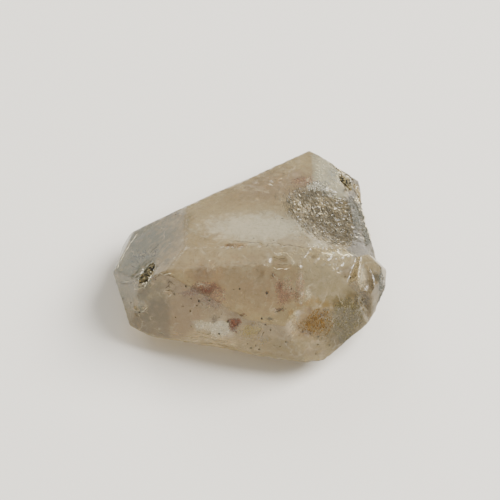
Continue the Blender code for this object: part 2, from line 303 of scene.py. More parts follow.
# Areas with a plain border, by their corners in the photograph and the blur of the border.
PANELS = (
    Panel("pale facet", (
        (312, 155), (317, 153), (330, 160), (340, 168), (343, 184), (346, 196), (342, 200),
        (333, 197), (322, 193), (314, 186), (312, 180),
    ), 1.2, (0.66, 0.66, 0.50), 0.85),
    Panel("slate facet", (
        (345, 197), (352, 195), (360, 206), (371, 228), (374, 241), (366, 240), (355, 226),
        (346, 210),
    ), 2.0, (0.05, 0.05, 0.036), 0.85),
    Panel("ash facet", (
        (150, 302), (160, 299), (170, 300), (170, 339), (150, 336), (132, 331), (124, 320),
        (130, 314), (142, 313),
    ), 3.0, (0.13, 0.12, 0.085), 0.9),
    Panel("brown flank", (
        (170, 299), (190, 289), (201, 300), (200, 322), (190, 339), (170, 339),
    ), 3.5, (0.34, 0.225, 0.125), 0.6),
    Panel("window", (
        (226, 264), (262, 264), (266, 290), (264, 308), (228, 308), (224, 285),
    ), 4.0, (0.46, 0.40, 0.25), 0.5),
    Panel("grey window", (
        (302, 264), (330, 263), (345, 284), (357, 288), (340, 300), (318, 300), (304, 286),
    ), 4.0, (0.42, 0.37, 0.22), 0.6),
    Panel("white patch", (
        (211, 323), (221, 318), (229, 326), (233, 337), (224, 340), (214, 336), (208, 331),
    ), 2.0, CHALK, 0.95),
    Panel("white ledge", ((192, 321), (212, 320), (212, 330), (195, 330)), 2.0, CREAM, 0.7),
    Panel("layered foot", (
        (187, 331), (212, 331), (237, 342), (238, 346), (212, 342), (186, 341),
    ), 2.0, (0.85, 0.70, 0.38), 0.7),
    Panel("maroon wedge", ((227, 319), (241, 318), (238, 326), (232, 332), (229, 327)),
          1.0, (0.25, 0.08, 0.02), 0.9),
    Panel("olive corner", (
        (332, 300), (346, 292), (357, 290), (368, 301), (372, 308), (362, 325), (352, 341),
        (338, 352), (330, 340), (337, 322),
    ), 5.0, (0.165, 0.13, 0.055), 0.75),
)

# Smaller stains, by the pixel of their middle and their half-width and half-height in pixels.
BLOTS = (
    # The upper face and the broken end.
    Blot((262, 230), (34, 13), CREAM, 0.5),
    Blot((292, 242), (22, 7), (0.80, 0.68, 0.46), 0.6),
    Blot((303, 181), (14, 6), (0.36, 0.20, 0.14), 0.6),
    Blot((296, 174), (6, 4), (0.75, 0.62, 0.48), 0.5),
    # The three blots below are painted shade on the hollow's upper wall.
    Blot((306, 195), (16, 7), (0.14, 0.12, 0.08), 0.75),
    Blot((320, 194), (17, 6), (0.17, 0.155, 0.11), 0.8),
    Blot((336, 202), (10, 4), (0.17, 0.155, 0.11), 0.7),
    Blot((296, 209), (13, 11), (0.30, 0.22, 0.09), 0.55),
    Blot((333, 173), (7, 9), (0.38, 0.41, 0.34), 0.65),
    Blot((338, 191), (7, 5), (0.50, 0.48, 0.38), 0.5),
    Blot((353, 202), (4.5, 6), (0.03, 0.03, 0.024), 0.8),
    Blot((350, 182), (3.4, 4.5), (0.03, 0.03, 0.02), 0.75),
    Blot((345, 190), (2.6, 3), (0.03, 0.03, 0.02), 0.7),
    Blot((346, 178), (4, 9), CHALK, 0.5),
    Blot((366, 214), (3.5, 9), CHALK, 0.6),
    Blot((366, 244), (2.5, 4), SLATE, 0.8),
    Blot((345, 241), (12, 3.5), (0.06, 0.05, 0.032), 0.6),
    Blot((315, 243), (11, 5), CREAM, 0.65),
    # The crest's pale crack, painted bright as its sparkle: painted highlight.
    Blot((338, 254), (19, 3.6), (1.0, 0.93, 0.62), 0.9),
    Blot((344, 262), (14, 5), (0.80, 0.68, 0.42), 0.6),
    Blot((314, 257), (3.4, 2.6), UMBER, 0.7),
    Blot((347, 271), (10, 6), (0.28, 0.21, 0.12), 0.65),
    Blot((348, 277), (7, 1.8), UMBER, 0.6),
    Blot((363, 276), (5, 12), CREAM, 0.65),
    Blot((376, 276), (5.5, 6), (0.085, 0.085, 0.06), 0.75),
    Blot((372, 287), (3, 3), (0.14, 0.12, 0.08), 0.6),
    Blot((381, 286), (4, 17), (0.10, 0.10, 0.07), 0.8),
    # The tip and the pit.
    Blot((124, 252), (7, 16), MIST, 0.5),
    Blot((155, 249), (5.5, 7), (0.13, 0.135, 0.10), 0.65),
    Blot((141, 255), (5, 5), (0.17, 0.18, 0.14), 0.5),
    Blot((133, 267), (4, 5), (0.16, 0.17, 0.14), 0.5),
    Blot((127, 285), (7, 2.4), (0.15, 0.155, 0.13), 0.6),
    Blot((143, 293), (8, 4), (0.13, 0.12, 0.11), 0.6),
    Blot((136, 304), (14, 4.5), (0.66, 0.64, 0.52), 0.6),
    Blot((154, 279), (4, 4), (0.18, 0.10, 0.05), 0.6),
    Blot((169, 283), (2.6, 6), (0.10, 0.085, 0.05), 0.7),
    Blot((169, 293), (7, 4), (0.72, 0.56, 0.30), 0.6),
    Blot((175, 213), (9, 4), (0.19, 0.18, 0.125), 0.65),
    Blot((187, 226), (2.6, 7), (0.18, 0.145, 0.09), 0.5),
    Blot((180, 268), (10, 5), (0.48, 0.36, 0.21), 0.5),
    # The face below the ridge.
    Blot((202, 272), (13, 13), MAUVE, 0.6),
    Blot((208, 289), (18, 8), (0.22, 0.09, 0.055), 0.75),
    Blot((190, 293), (11, 4), ROSE, 0.55),
    Blot((207, 290.5), (6, 3), (0.24, 0.08, 0.045), 0.8),
    Blot((214, 301), (11, 9), (0.48, 0.29, 0.19), 0.5),
    Blot((236, 245), (13, 3.4), (0.38, 0.21, 0.07), 0.7),
    Blot((229, 244.6), (5.5, 1.8), RUST, 0.9),
    Blot((282, 260), (7, 3), (0.28, 0.19, 0.10), 0.65),
    Blot((279, 254), (5, 2), CREAM, 0.7),
    Blot((293, 262), (3, 4), CREAM, 0.6),
    Blot((250, 287), (16, 7), (0.50, 0.36, 0.22), 0.45),
    Blot((262, 274), (3.4, 5), (0.20, 0.13, 0.07), 0.5),
    Blot((273, 275), (2.4, 4), (0.12, 0.06, 0.03), 0.75),
    Blot((280, 286), (3, 7.5), (0.26, 0.11, 0.08), 0.7),
    Blot((267, 293), (2.4, 2.8), (0.09, 0.05, 0.02), 0.8),
    Blot((284, 296), (12, 13), ROSE, 0.55),
    Blot((297, 296), (2.6, 7), (0.14, 0.06, 0.035), 0.6),
    Blot((280, 309.5), (6.5, 2), (0.09, 0.045, 0.04), 0.8),
    Blot((270, 319), (5, 2.2), (0.07, 0.065, 0.05), 0.75),
    Blot((242, 315.5), (3.2, 2.6), (0.08, 0.05, 0.022), 0.8),
    Blot((234, 315), (7, 3), (0.18, 0.09, 0.05), 0.6),
    Blot((214, 320), (4.6, 5), (0.26, 0.21, 0.14), 0.75),
    Blot((250, 331), (12, 8), (0.62, 0.47, 0.06), 0.9),
    Blot((251, 324), (7, 3), (0.26, 0.15, 0.03), 0.7),
    Blot((298, 313), (5, 4), CHALK, 0.7),
    Blot((289, 328), (5, 10), (0.85, 0.72, 0.50), 0.6),
    Blot((309, 294), (4, 9), (0.80, 0.74, 0.54), 0.6),
    Blot((300, 284), (7, 20), (0.50, 0.36, 0.23), 0.5),
    Blot((317, 324), (20, 14), (0.30, 0.185, 0.02), 0.92),
    Blot((321, 316), (5, 4), (0.12, 0.05, 0.01), 0.75),
    Blot((306, 333), (8, 4), (0.17, 0.08, 0.016), 0.7),
    Blot((310, 310), (2.4, 5), (0.12, 0.06, 0.025), 0.7),
    Blot((362, 302), (10, 7), (0.15, 0.12, 0.06), 0.55),
    Blot((351, 328), (9, 9), (0.20, 0.155, 0.05), 0.55),
    Blot((277, 350), (21, 13), MOSS, 0.6),
    Blot((312, 352), (16, 7), (0.36, 0.24, 0.11), 0.5),
    # Painted contact shadow along the bottom edge.
    Blot((300, 364), (34, 3), (0.13, 0.10, 0.05), 0.7),
)

# Fine bright cracks and edges, by their route in the photograph and width, all in pixels. The
# crest's bright cracks are also painted as its sparkle.
BRIGHT_LINES = (
    Line(((118, 281), (124, 281), (128, 282), (134, 280)), 1.3),
    Line(((133, 288), (135, 284), (137, 282)), 1.3),
    Line(((134, 289), (139, 289), (144, 287), (147, 282), (150, 278), (152, 273)), 1.8),
    Line(((152, 273), (155, 268), (155, 264), (152, 260)), 1.2),
    Line(((139, 283), (142, 284), (144, 282)), 1.3),
    Line(((131, 262), (135, 265), (138, 268)), 0.8),
    Line(((137, 258), (141, 263)), 0.8),
    Line(((144, 257), (147, 262)), 0.7),
    Line(((152, 273), (158, 273), (164, 275), (168, 273), (175, 275)), 1.2),
    Line(((171, 259), (175, 258), (178, 254), (183, 253), (187, 252)), 1.2),
    Line(((183, 248), (188, 248)), 0.8),
    Line(((162, 295), (165, 291), (169, 291)), 1.1),
    Line(((168, 297), (172, 294), (175, 296)), 1.1),
    Line(((141, 312), (144, 311), (148, 307)), 1.6),
    Line(((130, 310), (138, 311)), 1.0),
    Line(((137, 303), (140, 306), (145, 305)), 1.1),
    Line(((138, 233), (131, 243), (124, 254), (119, 263), (117, 269)), 1.8),
    Line(((134, 332), (150, 336), (160, 338), (175, 340), (188, 341)), 0.9),
    Line(((186, 341), (200, 341), (215, 342), (228, 344), (238, 346)), 1.2),
    Line(((210, 340), (220, 339), (230, 341), (239, 344)), 0.9),
    Line(((193, 330), (198, 331), (203, 333)), 0.9),
    Line(((192, 334), (199, 335), (206, 337)), 0.8),
    Line(((213, 336), (222, 338), (229, 337)), 0.8),
    Line(((272, 252), (277, 254), (283, 252), (288, 254)), 0.9),
    Line(((286, 253), (291, 257), (294, 262), (291, 267)), 0.9),
    Line(((272, 266), (276, 269), (283, 269), (290, 268)), 1.2),
    Line(((266, 265), (269, 267)), 1.0),
    Line(((258, 248), (260, 250)), 1.2),
    Line(((208, 262), (211, 260)), 1.3),
    Line(((267, 184), (270, 184), (273, 186)), 1.5),
    Line(((278, 180), (282, 178)), 1.2),
    Line(((320, 184), (323, 188)), 0.9),
    Line(((314, 190), (320, 197), (322, 204)), 1.0),
    Line(((342, 171), (344, 180), (345, 186)), 1.2),
    Line(((354, 199), (358, 207)), 0.8),
    Line(((341, 208), (345, 211), (349, 214)), 1.0),
    Line(((346, 172), (349, 176), (351, 182), (352, 188)), 1.0),
    Line(((354, 196), (357, 202), (358, 208), (361, 213)), 1.1),
    Line(((361, 213), (362, 220), (365, 228)), 1.1),
    Line(((356, 206), (359, 214), (360, 222), (364, 231)), 0.8),
    # The crest's cracks, painted bright as its sparkle: painted highlight.
    Line(((321, 252), (326, 253), (333, 255)), 1.4),
    Line(((336, 251), (341, 254), (344, 256), (349, 254), (354, 256)), 1.9),
    Line(((331, 266), (336, 271), (341, 274)), 0.9),
    Line(((190, 321), (200, 321)), 0.7),
)

# Fine dark cracks, edges and fibres, and painted contact shadow along the bottom edge, given
# in the same way.
DARK_LINES = (
    Line(((229, 241), (240, 241), (250, 242), (258, 243), (264, 244)), 0.8),
    Line(((266, 247), (268, 244), (275, 243), (282, 245), (291, 245), (305, 248)), 0.9),
    Line(((166, 276), (171, 276), (176, 278)), 0.7),
    Line(((167, 284), (170, 281), (173, 284)), 0.9),
    Line(((165, 288), (168, 286), (172, 288)), 0.9),
    Line(((171, 290), (174, 292), (175, 296)), 0.9),
    Line(((167, 293), (171, 296)), 0.8),
    Line(((166, 291), (171, 290), (174, 294)), 1.0),
    Line(((150, 254), (154, 249), (159, 244)), 1.2),
    Line(((151, 258), (155, 254), (157, 249)), 1.0),
    Line(((131, 265), (135, 268)), 0.9),
    Line(((133, 275), (137, 275)), 0.8),
    Line(((140, 252), (145, 258)), 0.9),
    Line(((147, 252), (149, 257)), 0.8),
    Line(((136, 259), (139, 263)), 0.8),
    Line(((125, 250), (122, 256), (119, 263)), 0.8),
    Line(((136, 234), (131, 244), (124, 256), (120, 266)), 0.7),
    Line(((119, 283), (126, 284), (132, 283)), 0.8),
    Line(((190, 325), (193, 329)), 1.0),
    Line(((211, 340), (220, 340), (229, 342)), 0.6),
    Line(((190, 338), (203, 337), (214, 339)), 0.7),
    Line(((196, 332), (206, 334), (214, 334)), 0.6),
    # These two lines along the bottom edge are painted contact shadow.
    Line(((216, 344), (228, 347), (240, 351)), 0.8),
    Line(((186, 342), (200, 343), (214, 344)), 0.8),
    Line(((273, 257), (279, 259), (286, 258)), 0.8),
    Line(((276, 264), (283, 265), (289, 264)), 0.7),
    Line(((258, 335), (262, 328)), 0.8),
    Line(((261, 337), (265, 331)), 0.8),
    Line(((259, 329), (262, 333)), 0.7),
    Line(((274, 312), (279, 311), (284, 307)), 1.1),
    Line(((262, 316), (263, 320)), 1.5),
    Line(((229, 321), (230, 328)), 0.9),
    Line(((232, 321), (233, 330)), 0.9),
    Line(((235, 321), (235, 329)), 0.9),
    Line(((238, 321), (237, 327)), 0.9),
    Line(((280, 281), (280, 290)), 0.9),
    Line(((272, 273), (274, 278)), 0.9),
    Line(((369, 280), (370, 286), (375, 288)), 0.9),
    Line(((375, 262), (381, 268), (384, 278)), 0.8),
    Line(((305, 219), (308, 224)), 1.4),
    Line(((281, 218), (284, 219)), 1.3),
    Line(((336, 238), (346, 242), (356, 246)), 1.4),
    Line(((340, 235), (350, 238), (358, 240)), 1.2),
    Line(((332, 241), (342, 245)), 1.0),
)

# The dark outlines of the glassy shards on the broken rim, given in the same way.
RIM_LINES = (
    Line(((330, 162), (340, 167), (349, 171), (353, 179), (354, 190)), 1.2),
    Line(((354, 190), (360, 200), (361, 205), (366, 208), (371, 220), (374, 232)), 1.4),
    Line(((340, 169), (343, 183), (347, 192)), 1.1),
    Line(((350, 196), (358, 208), (364, 219), (370, 232)), 1.5),
    Line(((344, 175), (349, 175)), 1.2),
    Line(((343, 183), (346, 187)), 1.2),
    Line(((351, 186), (353, 191)), 1.3),
    Line(((359, 208), (363, 215)), 1.2),
    Line(((361, 206), (366, 209)), 1.1),
    Line(((365, 217), (369, 219)), 1.1),
)

# Dark specks, as (x, y, half-width) in pixels. Each is a few flakes, spread by so much
# (pixels), and of a size and thickness given as a share of its half-width.
SPECK_FLAKES = 3
SPECK_SPREAD = 0.4
SPECK_SIZE = (0.7, 1.1)
SPECK_THICKNESS = 0.3
SPECK_TILT = 0.3
SPECKS = (
    (199, 301, 1.6), (220, 334, 1.4), (240, 289, 1.1), (259, 349, 1.4), (251, 348, 1.2),
    (262, 318, 1.5), (266, 325, 1.3), (228, 322, 1.5), (176, 318, 1.2), (191, 298, 1.0),
    (183, 306, 0.9), (197, 306, 1.1), (190, 311, 1.0), (209, 301, 1.2), (139, 312, 1.3),
    (131, 303, 0.9), (120, 299, 1.2), (122, 311, 1.0), (286, 342, 1.3), (318, 337, 1.2),
    (318, 344, 1.3), (326, 341, 1.0), (329, 345, 1.0), (347, 345, 1.0), (316, 354, 1.0),
    (303, 332, 1.2), (310, 334, 1.0), (280, 347, 0.9), (274, 345, 0.8), (271, 330, 1.2),
    (225, 348, 0.9), (366, 245, 1.7), (356, 234, 1.5), (350, 183, 1.9), (345, 190, 1.6),
    (346, 175, 1.1), (352, 179, 1.2), (206, 308, 1.1), (219, 317, 1.0), (222, 314, 0.8),
    (248, 344, 0.8), (256, 346, 0.9), (174, 294, 1.0), (267, 293, 1.2), (234, 290, 0.6),
    (345, 277, 0.9), (350, 278, 0.8), (171, 213, 1.1), (176, 215, 1.0), (167, 216, 0.9),
    (254, 238, 0.8), (274, 240, 0.8), (321, 316, 1.3), (325, 319, 1.0), (186, 286, 1.3),
)

# What the quartz holds, in heaps of one colour; a few beds, marked below, are painted shade
# and painted highlight instead. A bed is an oval of flakes by the pixel of its middle and its
# half-sizes in pixels, and a cluster a loose cloud round a place (mm). Both give how many flakes
# there are, and the range of their size and of their depth under the skin (mm).
MAROON_FLAKES = Heap("maroon_flakes", (0.28, 0.07, 0.012), (0.10, 0.02, 0.005), 0.3, (), (
    Bed((235, 322), (6.5, 4), 130, (0.12, 0.28), (-0.07, 0.02)),
    Bed((233, 328), (4, 4), 70, (0.12, 0.26), (-0.07, 0.02)),
    Bed((234.5, 323), (5.5, 4), 70, (0.06, 0.16), (-0.10, -0.03)),
    Bed((207, 290.5), (6, 2.8), 60, (0.10, 0.24), (-0.05, 0.05)),
    Bed((201, 288), (7, 2.2), 30, (0.08, 0.18), (-0.03, 0.1)),
    Bed((280, 286), (2.2, 7), 30, (0.10, 0.22), (-0.04, 0.1)),
    Bed((273, 275), (1.8, 3.4), 12, (0.08, 0.2), (-0.04, 0.1)),
    Bed((267, 293), (2, 2.4), 14, (0.08, 0.2), (-0.04, 0.1)),
    Bed((297, 296), (2, 6), 16, (0.08, 0.2), (-0.04, 0.2)),
    Bed((280, 309.5), (6.5, 1.6), 34, (0.08, 0.2), (-0.04, 0.1)),
    Bed((243, 315), (3.4, 2), 16, (0.08, 0.2), (-0.04, 0.1)),
    Bed((213, 304), (7, 4), 18, (0.06, 0.14), (0.0, 0.1)),
))
ROSE_FLAKES = Heap("rose_flakes", (0.40, 0.215, 0.135), (0.29, 0.145, 0.085), 0.12, (), (
    Bed((207, 289), (17, 7), 330, (0.14, 0.34), (0.0, 0.16)),
    Bed((190, 293), (12, 3), 90, (0.10, 0.28), (0.0, 0.16)),
    Bed((213, 300), (12, 8), 190, (0.12, 0.3), (0.02, 0.2)),
    Bed((285, 291), (9, 13), 330, (0.12, 0.32), (0.0, 0.2)),
    Bed((300, 288), (4, 16), 130, (0.12, 0.30), (0.0, 0.2)),
    Bed((303, 181), (13, 6), 90, (0.12, 0.3), (0.1, 0.4)),
))
OCHRE_FLAKES = Heap("ochre_flakes", (0.19, 0.092, 0.004), (0.10, 0.046, 0.002), 0.15, (), (
    Bed((317, 324), (20, 15), 820, (0.14, 0.34), (0.0, 0.2)),
    Bed((317, 322), (17, 13), 420, (0.06, 0.18), (-0.10, -0.02)),
    Bed((315, 324), (10, 8), 200, (0.08, 0.2), (-0.10, -0.02)),
    Bed((320, 317), (6, 5), 50, (0.10, 0.24), (-0.04, 0.1)),
    Bed((306, 332), (8, 4), 46, (0.10, 0.24), (-0.04, 0.1)),
    Bed((236, 245.5), (12, 2.2), 70, (0.08, 0.2), (0.0, 0.08)),
    Bed((230, 244.5), (5, 1.4), 24, (0.08, 0.2), (0.0, 0.08)),
    Bed((154, 279), (3.4, 3.4), 16, (0.10, 0.22), (0.05, 0.3)),
    Bed((172, 287), (6, 7), 20, (0.08, 0.2), (0.05, 0.3)),
))
OLIVE_FLAKES = Heap("olive_flakes", (0.125, 0.098, 0.034), (0.085, 0.067, 0.022), 0.15, (), (
    Bed((349, 313), (15, 15), 480, (0.18, 0.42), (-0.05, 0.15)),
    Bed((344, 333), (10, 11), 300, (0.18, 0.42), (-0.05, 0.15)),
    Bed((362, 300), (8, 8), 60, (0.16, 0.34), (0.05, 0.3)),
))
GREY_FLAKES = Heap("grey_flakes", (0.31, 0.295, 0.225), (0.20, 0.19, 0.145), 0.2, (), (
    Bed((334, 174), (6, 9), 90, (0.14, 0.36), (0.1, 0.4)),
    Bed((318, 186), (11, 5), 220, (0.12, 0.3), (-0.1, -0.04)),
    Bed((300, 274), (3, 10), 50, (0.12, 0.26), (0.0, 0.1)),
))
YELLOW_FLAKES = Heap("yellow_flakes", (0.62, 0.46, 0.11), (0.42, 0.29, 0.06), 0.5, (), (
    Bed((250, 331), (11, 7), 260, (0.12, 0.3), (0.0, 0.15)),
    Bed((262, 340), (10, 6), 60, (0.10, 0.26), (0.0, 0.2)),
    # The crest's pale crack, painted as its sparkle: painted highlight.
    Bed((338, 254), (18, 3), 70, (0.07, 0.17), (0.0, 0.1)),
))
SMOKY_FLAKES = Heap("smoky_flakes", (0.36, 0.29, 0.18), (0.17, 0.13, 0.075), 0.3, (), (
    Bed((331, 223), (36, 17), 420, (0.2, 0.5), (0.1, 0.5)),
    # These three beds lie near the surface as painted shade on the hollow's upper wall.
    Bed((308, 194), (14, 8), 200, (0.2, 0.5), (0.05, 0.4)),
    Bed((321, 195), (17, 6), 220, (0.14, 0.34), (-0.05, 0.08)),
    Bed((337, 203), (9, 4), 90, (0.14, 0.34), (-0.05, 0.08)),
    Bed((298, 210), (13, 12), 70, (0.15, 0.4), (0.1, 0.6)),
    Bed((346, 243), (12, 3), 60, (0.12, 0.3), (0.05, 0.3)),
))
SLATE_FLAKES = Heap("slate_flakes", (0.145, 0.145, 0.115), (0.06, 0.06, 0.047), 0.3, (), (
    Bed((353, 203), (4.5, 6), 120, (0.14, 0.32), (-0.11, -0.05)),
    Bed((359, 216), (6.5, 13), 420, (0.16, 0.36), (-0.11, -0.05)),
    Bed((368, 234), (4.5, 11), 300, (0.16, 0.36), (-0.11, -0.05)),
    Bed((382, 286), (3, 15), 200, (0.14, 0.32), (-0.11, -0.05)),
    Bed((376, 277), (4, 6), 50, (0.10, 0.24), (-0.04, 0.1)),
    Bed((155, 248), (4.5, 6), 24, (0.08, 0.2), (0.03, 0.2)),
    Bed((175, 213), (8, 3), 20, (0.08, 0.2), (0.03, 0.2)),
    Bed((214, 319), (4, 4), 34, (0.08, 0.2), (-0.04, 0.1)),
    Bed((270, 319), (4.6, 1.8), 24, (0.08, 0.18), (-0.04, 0.1)),
))
MILK_FLAKES = Heap("milk_flakes", (1.0, 0.93, 0.74), (0.86, 0.75, 0.50), 0.5, (
    Cluster((-20.3, -13.2, 10.4), (1.6, 0.8, 1.4), 90, (0.08, 0.2), (0.0, 0.3)),
    Cluster((22.5, 4.0, 4.0), (1.0, 3.0, 1.6), 60, (0.10, 0.30), (0.0, 0.4)),
    Cluster((17.6, 16.0, 9.0), (1.6, 3.0, 1.4), 200, (0.12, 0.4), (0.0, 0.3)),
    Cluster((-6.0, -15.5, 16.5), (8.0, 2.6, 3.0), 180, (0.05, 0.13), (0.1, 1.4)),
    Cluster((4.0, -18.0, 14.0), (3.0, 1.6, 2.0), 70, (0.06, 0.15), (0.1, 0.9)),
), (
    Bed((219, 329), (11, 8), 560, (0.12, 0.32), (-0.07, 0.08)),
    Bed((202, 326), (10, 5), 240, (0.12, 0.3), (-0.06, 0.06)),
    Bed((220, 330), (9, 7), 220, (0.07, 0.18), (-0.10, -0.02)),
    Bed((205, 326), (9, 4), 110, (0.06, 0.16), (-0.10, -0.02)),
    # The crest's pale crack, painted as its sparkle: painted highlight.
    Bed((338, 253), (19, 4), 150, (0.05, 0.15), (0.0, 0.08)),
    Bed((315, 244), (10, 4), 40, (0.05, 0.14), (0.0, 0.1)),
    Bed((293, 321), (4, 12), 60, (0.10, 0.28), (0.1, 0.6)),
    Bed((309, 295), (3, 8), 40, (0.10, 0.28), (0.1, 0.6)),
    Bed((361, 276), (4, 13), 110, (0.10, 0.3), (0.02, 0.4)),
    Bed((320, 172), (5, 12), 60, (0.14, 0.4), (0.1, 0.5)),
    Bed((334, 186), (8, 7), 40, (0.1, 0.3), (0.05, 0.3)),
    Bed((279, 254), (5, 1.4), 14, (0.06, 0.14), (0.0, 0.1)),
))
DARK_GRAINS = Heap("dark_grains", (0.05, 0.04, 0.02), (0.012, 0.012, 0.008), 1.0, (
    Cluster((-9.0, -15.6, 15.4), (4.5, 2.2, 3.0), 46, (0.05, 0.13), (0.0, 0.3)),
    Cluster((3.0, -20.0, 9.0), (7.0, 1.2, 2.6), 60, (0.05, 0.13), (0.0, 0.3)),
    Cluster((13.0, -18.5, 9.5), (4.0, 1.6, 3.0), 50, (0.05, 0.13), (0.0, 0.3)),
    Cluster((19.6, 11.4, 8.8), (1.0, 2.6, 1.4), 50, (0.07, 0.18), (0.0, 0.2)),
    Cluster((17.4, 14.6, 9.2), (1.0, 1.4, 1.0), 60, (0.08, 0.22), (0.0, 0.2)),
), (
    Bed((200, 305), (18, 14), 60, (0.04, 0.11), (0.0, 0.03)),
    Bed((268, 341), (38, 11), 70, (0.04, 0.11), (0.0, 0.03)),
    Bed((320, 338), (16, 12), 44, (0.04, 0.11), (0.0, 0.03)),
    Bed((230, 320.5), (2.6, 2), 16, (0.06, 0.14), (0.0, 0.03)),
    Bed((184, 289), (9, 9), 20, (0.04, 0.12), (0.0, 0.05)),
    Bed((350, 183), (2.6, 4), 26, (0.08, 0.22), (0.0, 0.08)),
    Bed((345, 190), (2, 2.6), 16, (0.08, 0.2), (0.0, 0.08)),
    Bed((366, 245), (1.6, 2.6), 10, (0.08, 0.2), (0.0, 0.08)),
))
HEAPS = (
    MAROON_FLAKES,
    ROSE_FLAKES,
    OCHRE_FLAKES,
    OLIVE_FLAKES,
    GREY_FLAKES,
    YELLOW_FLAKES,
    SMOKY_FLAKES,
    SLATE_FLAKES,
    MILK_FLAKES,
    DARK_GRAINS,
)

# Tufts of short threads, by the pixel of their middle, their half-sizes in pixels, their slope
# (degrees), the range of the threads' length in pixels, and how many threads there are.
BRIGHT_TUFTS = (
    Tuft((334, 250), (46, 10), 20, (2, 6), 110),
    Tuft((367, 214), (4, 26), 65, (3, 7), 30),
    Tuft((346, 178), (4, 13), 75, (2, 6), 36),
    Tuft((208, 337), (34, 8), 5, (5, 14), 60),
    Tuft((293, 321), (6, 16), -64, (2, 5), 40),
    Tuft((362, 278), (5, 18), 70, (2, 6), 40),
)
DARK_TUFTS = (
    Tuft((298, 206), (22, 20), 80, (2, 6), 120),
    Tuft((338, 250), (54, 16), 35, (2, 5), 130),
    Tuft((352, 184), (8, 18), 70, (2, 5), 36),
)
TUFT_SPREAD = 18
TUFT_WIDTH = (0.6, 1.2)

# Crumbs of crushed quartz along a route of pixels: how many there are, the range of their size
# (mm), how far they spread from the route (pixels), and how deep they lie, as a share of their
# size.
CRUMB_TILT = 0.8
CRUMB_THICKNESS = 0.5
CRUSHED_QUARTZ = (
    Crumbs(
        "pit rim", ((134, 286), (138, 289), (144, 287), (148, 281), (152, 273), (155, 265)),
        130, (0.03, 0.09), 0.7, 1.0,
    ),
    Crumbs(
        "chipped rim",
        ((329, 162), (340, 169), (348, 177), (351, 190), (357, 201), (364, 210), (370, 224)),
        200, (0.1, 0.3), 1.8, 0.8,
    ),
    Crumbs(
        "shards", ((355, 198), (361, 207), (367, 217), (372, 229), (374, 238)),
        110, (0.08, 0.24), 1.1, -0.2,
    ),
    Crumbs(
        "knob seam", ((358, 256), (358, 266), (359, 276), (361, 287), (363, 298)),
        150, (0.06, 0.2), 2.4, 0.8,
    ),
)

# The two crusts: the way that their blades mostly lie (degrees), how many there are, and the
# range of their length (mm).
CRUSTS = (
    Crust("pit", 62, 80, 420, (0.5, 1.3)),
    Crust("rim", 100, 60, 160, (0.3, 0.8)),
)

# Two linear colours each for the bright cracks and painted glints, the dark fibres and painted
# shade, and the crusts.
CRACK_AND_GLINT_COLOURS = ((0.96, 0.88, 0.66), (0.72, 0.60, 0.36))
FIBRE_AND_SHADE_COLOURS = ((0.085, 0.065, 0.032), (0.02, 0.017, 0.009))
CRUST_COLOURS = ((0.20, 0.165, 0.08), (0.002, 0.002, 0.0015))

# Soft lamps, by the direction that they hang in (degrees), their distance and size (m), their
# power (W) and colour; the light of the room; and the floor, with half its side (m).
LAMPS = (
    Lamp("right window", 14, 40, 1.6, 1.2, 68, (1.0, 0.98, 0.94)),
    Lamp("rear window", 112, 58, 1.6, 0.9, 10, (1.0, 0.985, 0.95)),
)
ROOM_COLOUR = (1.0, 0.96, 0.885, 1)
ROOM_STRENGTH = 0.62
FLOOR_COLOUR = (0.80, 0.775, 0.725, 1)
FLOOR_REACH = 1.5


# Small helpers


def outward(facing, tilt):
    """The direction that looks towards `facing` and leans `tilt` from straight up, in degrees."""
    around, lean = math.radians(facing), math.radians(tilt)
    level = Vector((math.cos(around), math.sin(around), 0)) * math.sin(lean)
    return level + Vector((0, 0, math.cos(lean)))


def link(name, data):
    """A new object in the scene."""
    piece = bpy.data.objects.new(name, data)
    bpy.context.scene.collection.objects.link(piece)
    return piece


def dress(piece, material):
    """Finishes a piece of the stone: its material, smooth shading, slot and body."""
    piece.data.materials.append(material)
    for face in piece.data.polygons:
        face.use_smooth = True
    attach(piece, "root")


def fade(value, start, end):
    """An eased step: 0 at start, 1 at end."""
    share = min(max((value - start) / (end - start), 0.0), 1.0)
    return share * share * (3 - 2 * share)


def uneven(place):
    """A soft noise, 0 to 1."""
    return 0.5 + 0.5 * noise.noise(place)


def raise_to(values, index, least):
    """Makes one of the values at least this large."""
    values[index] = max(values[index], least)


def crossways(direction):
    """Two directions at right angles to the one given and to each other."""
    spare = Vector((0, 0, 1)) if abs(direction.z) < 0.9 else Vector((1, 0, 0))
    first = direction.cross(spare).normalized()
    return first, direction.cross(first).normalized()


def any_direction(draw):
    rise = draw.uniform(-1, 1)
    around = draw.uniform(0, math.tau)
    level = math.sqrt(1 - rise * rise)
    return Vector((level * math.cos(around), level * math.sin(around), rise))


# The photograph's pixels and the stone


def view_axes():
    """The directions away from the stone towards the camera, and up in the photograph."""
    away = outward(-90, 90 - CAMERA_ELEVATION)
    return away, away.cross(Vector((1, 0, 0)))


def pixel_of(place):
    """The pixel that shows a place."""
    away, up = view_axes()
    offset = place - CAMERA_TARGET
    nearer = CAMERA_DISTANCE / (CAMERA_DISTANCE - offset.dot(away)) / PIXEL
    return Vector((PHOTO_SIZE / 2 + offset.x * nearer, PHOTO_SIZE / 2 - offset.dot(up) * nearer, 0))


def shown_by(surface, x, y):
    """The point of the surface that a pixel shows, or one just inside its outline, and the way
    it faces."""
    away, up = view_axes()
    eye = CAMERA_TARGET + away * CAMERA_DISTANCE
    across = Vector((x - PHOTO_SIZE / 2, 0, 0)) * PIXEL
    aim = CAMERA_TARGET + across + up * (PHOTO_SIZE / 2 - y) * PIXEL
    middle = CAMERA_TARGET.copy()
    while True:
        place, facet, face, gap = surface.ray_cast(eye, (aim - eye).normalized())
        if place is not None:
            return place, facet
        aim = aim.lerp(middle, 0.01)


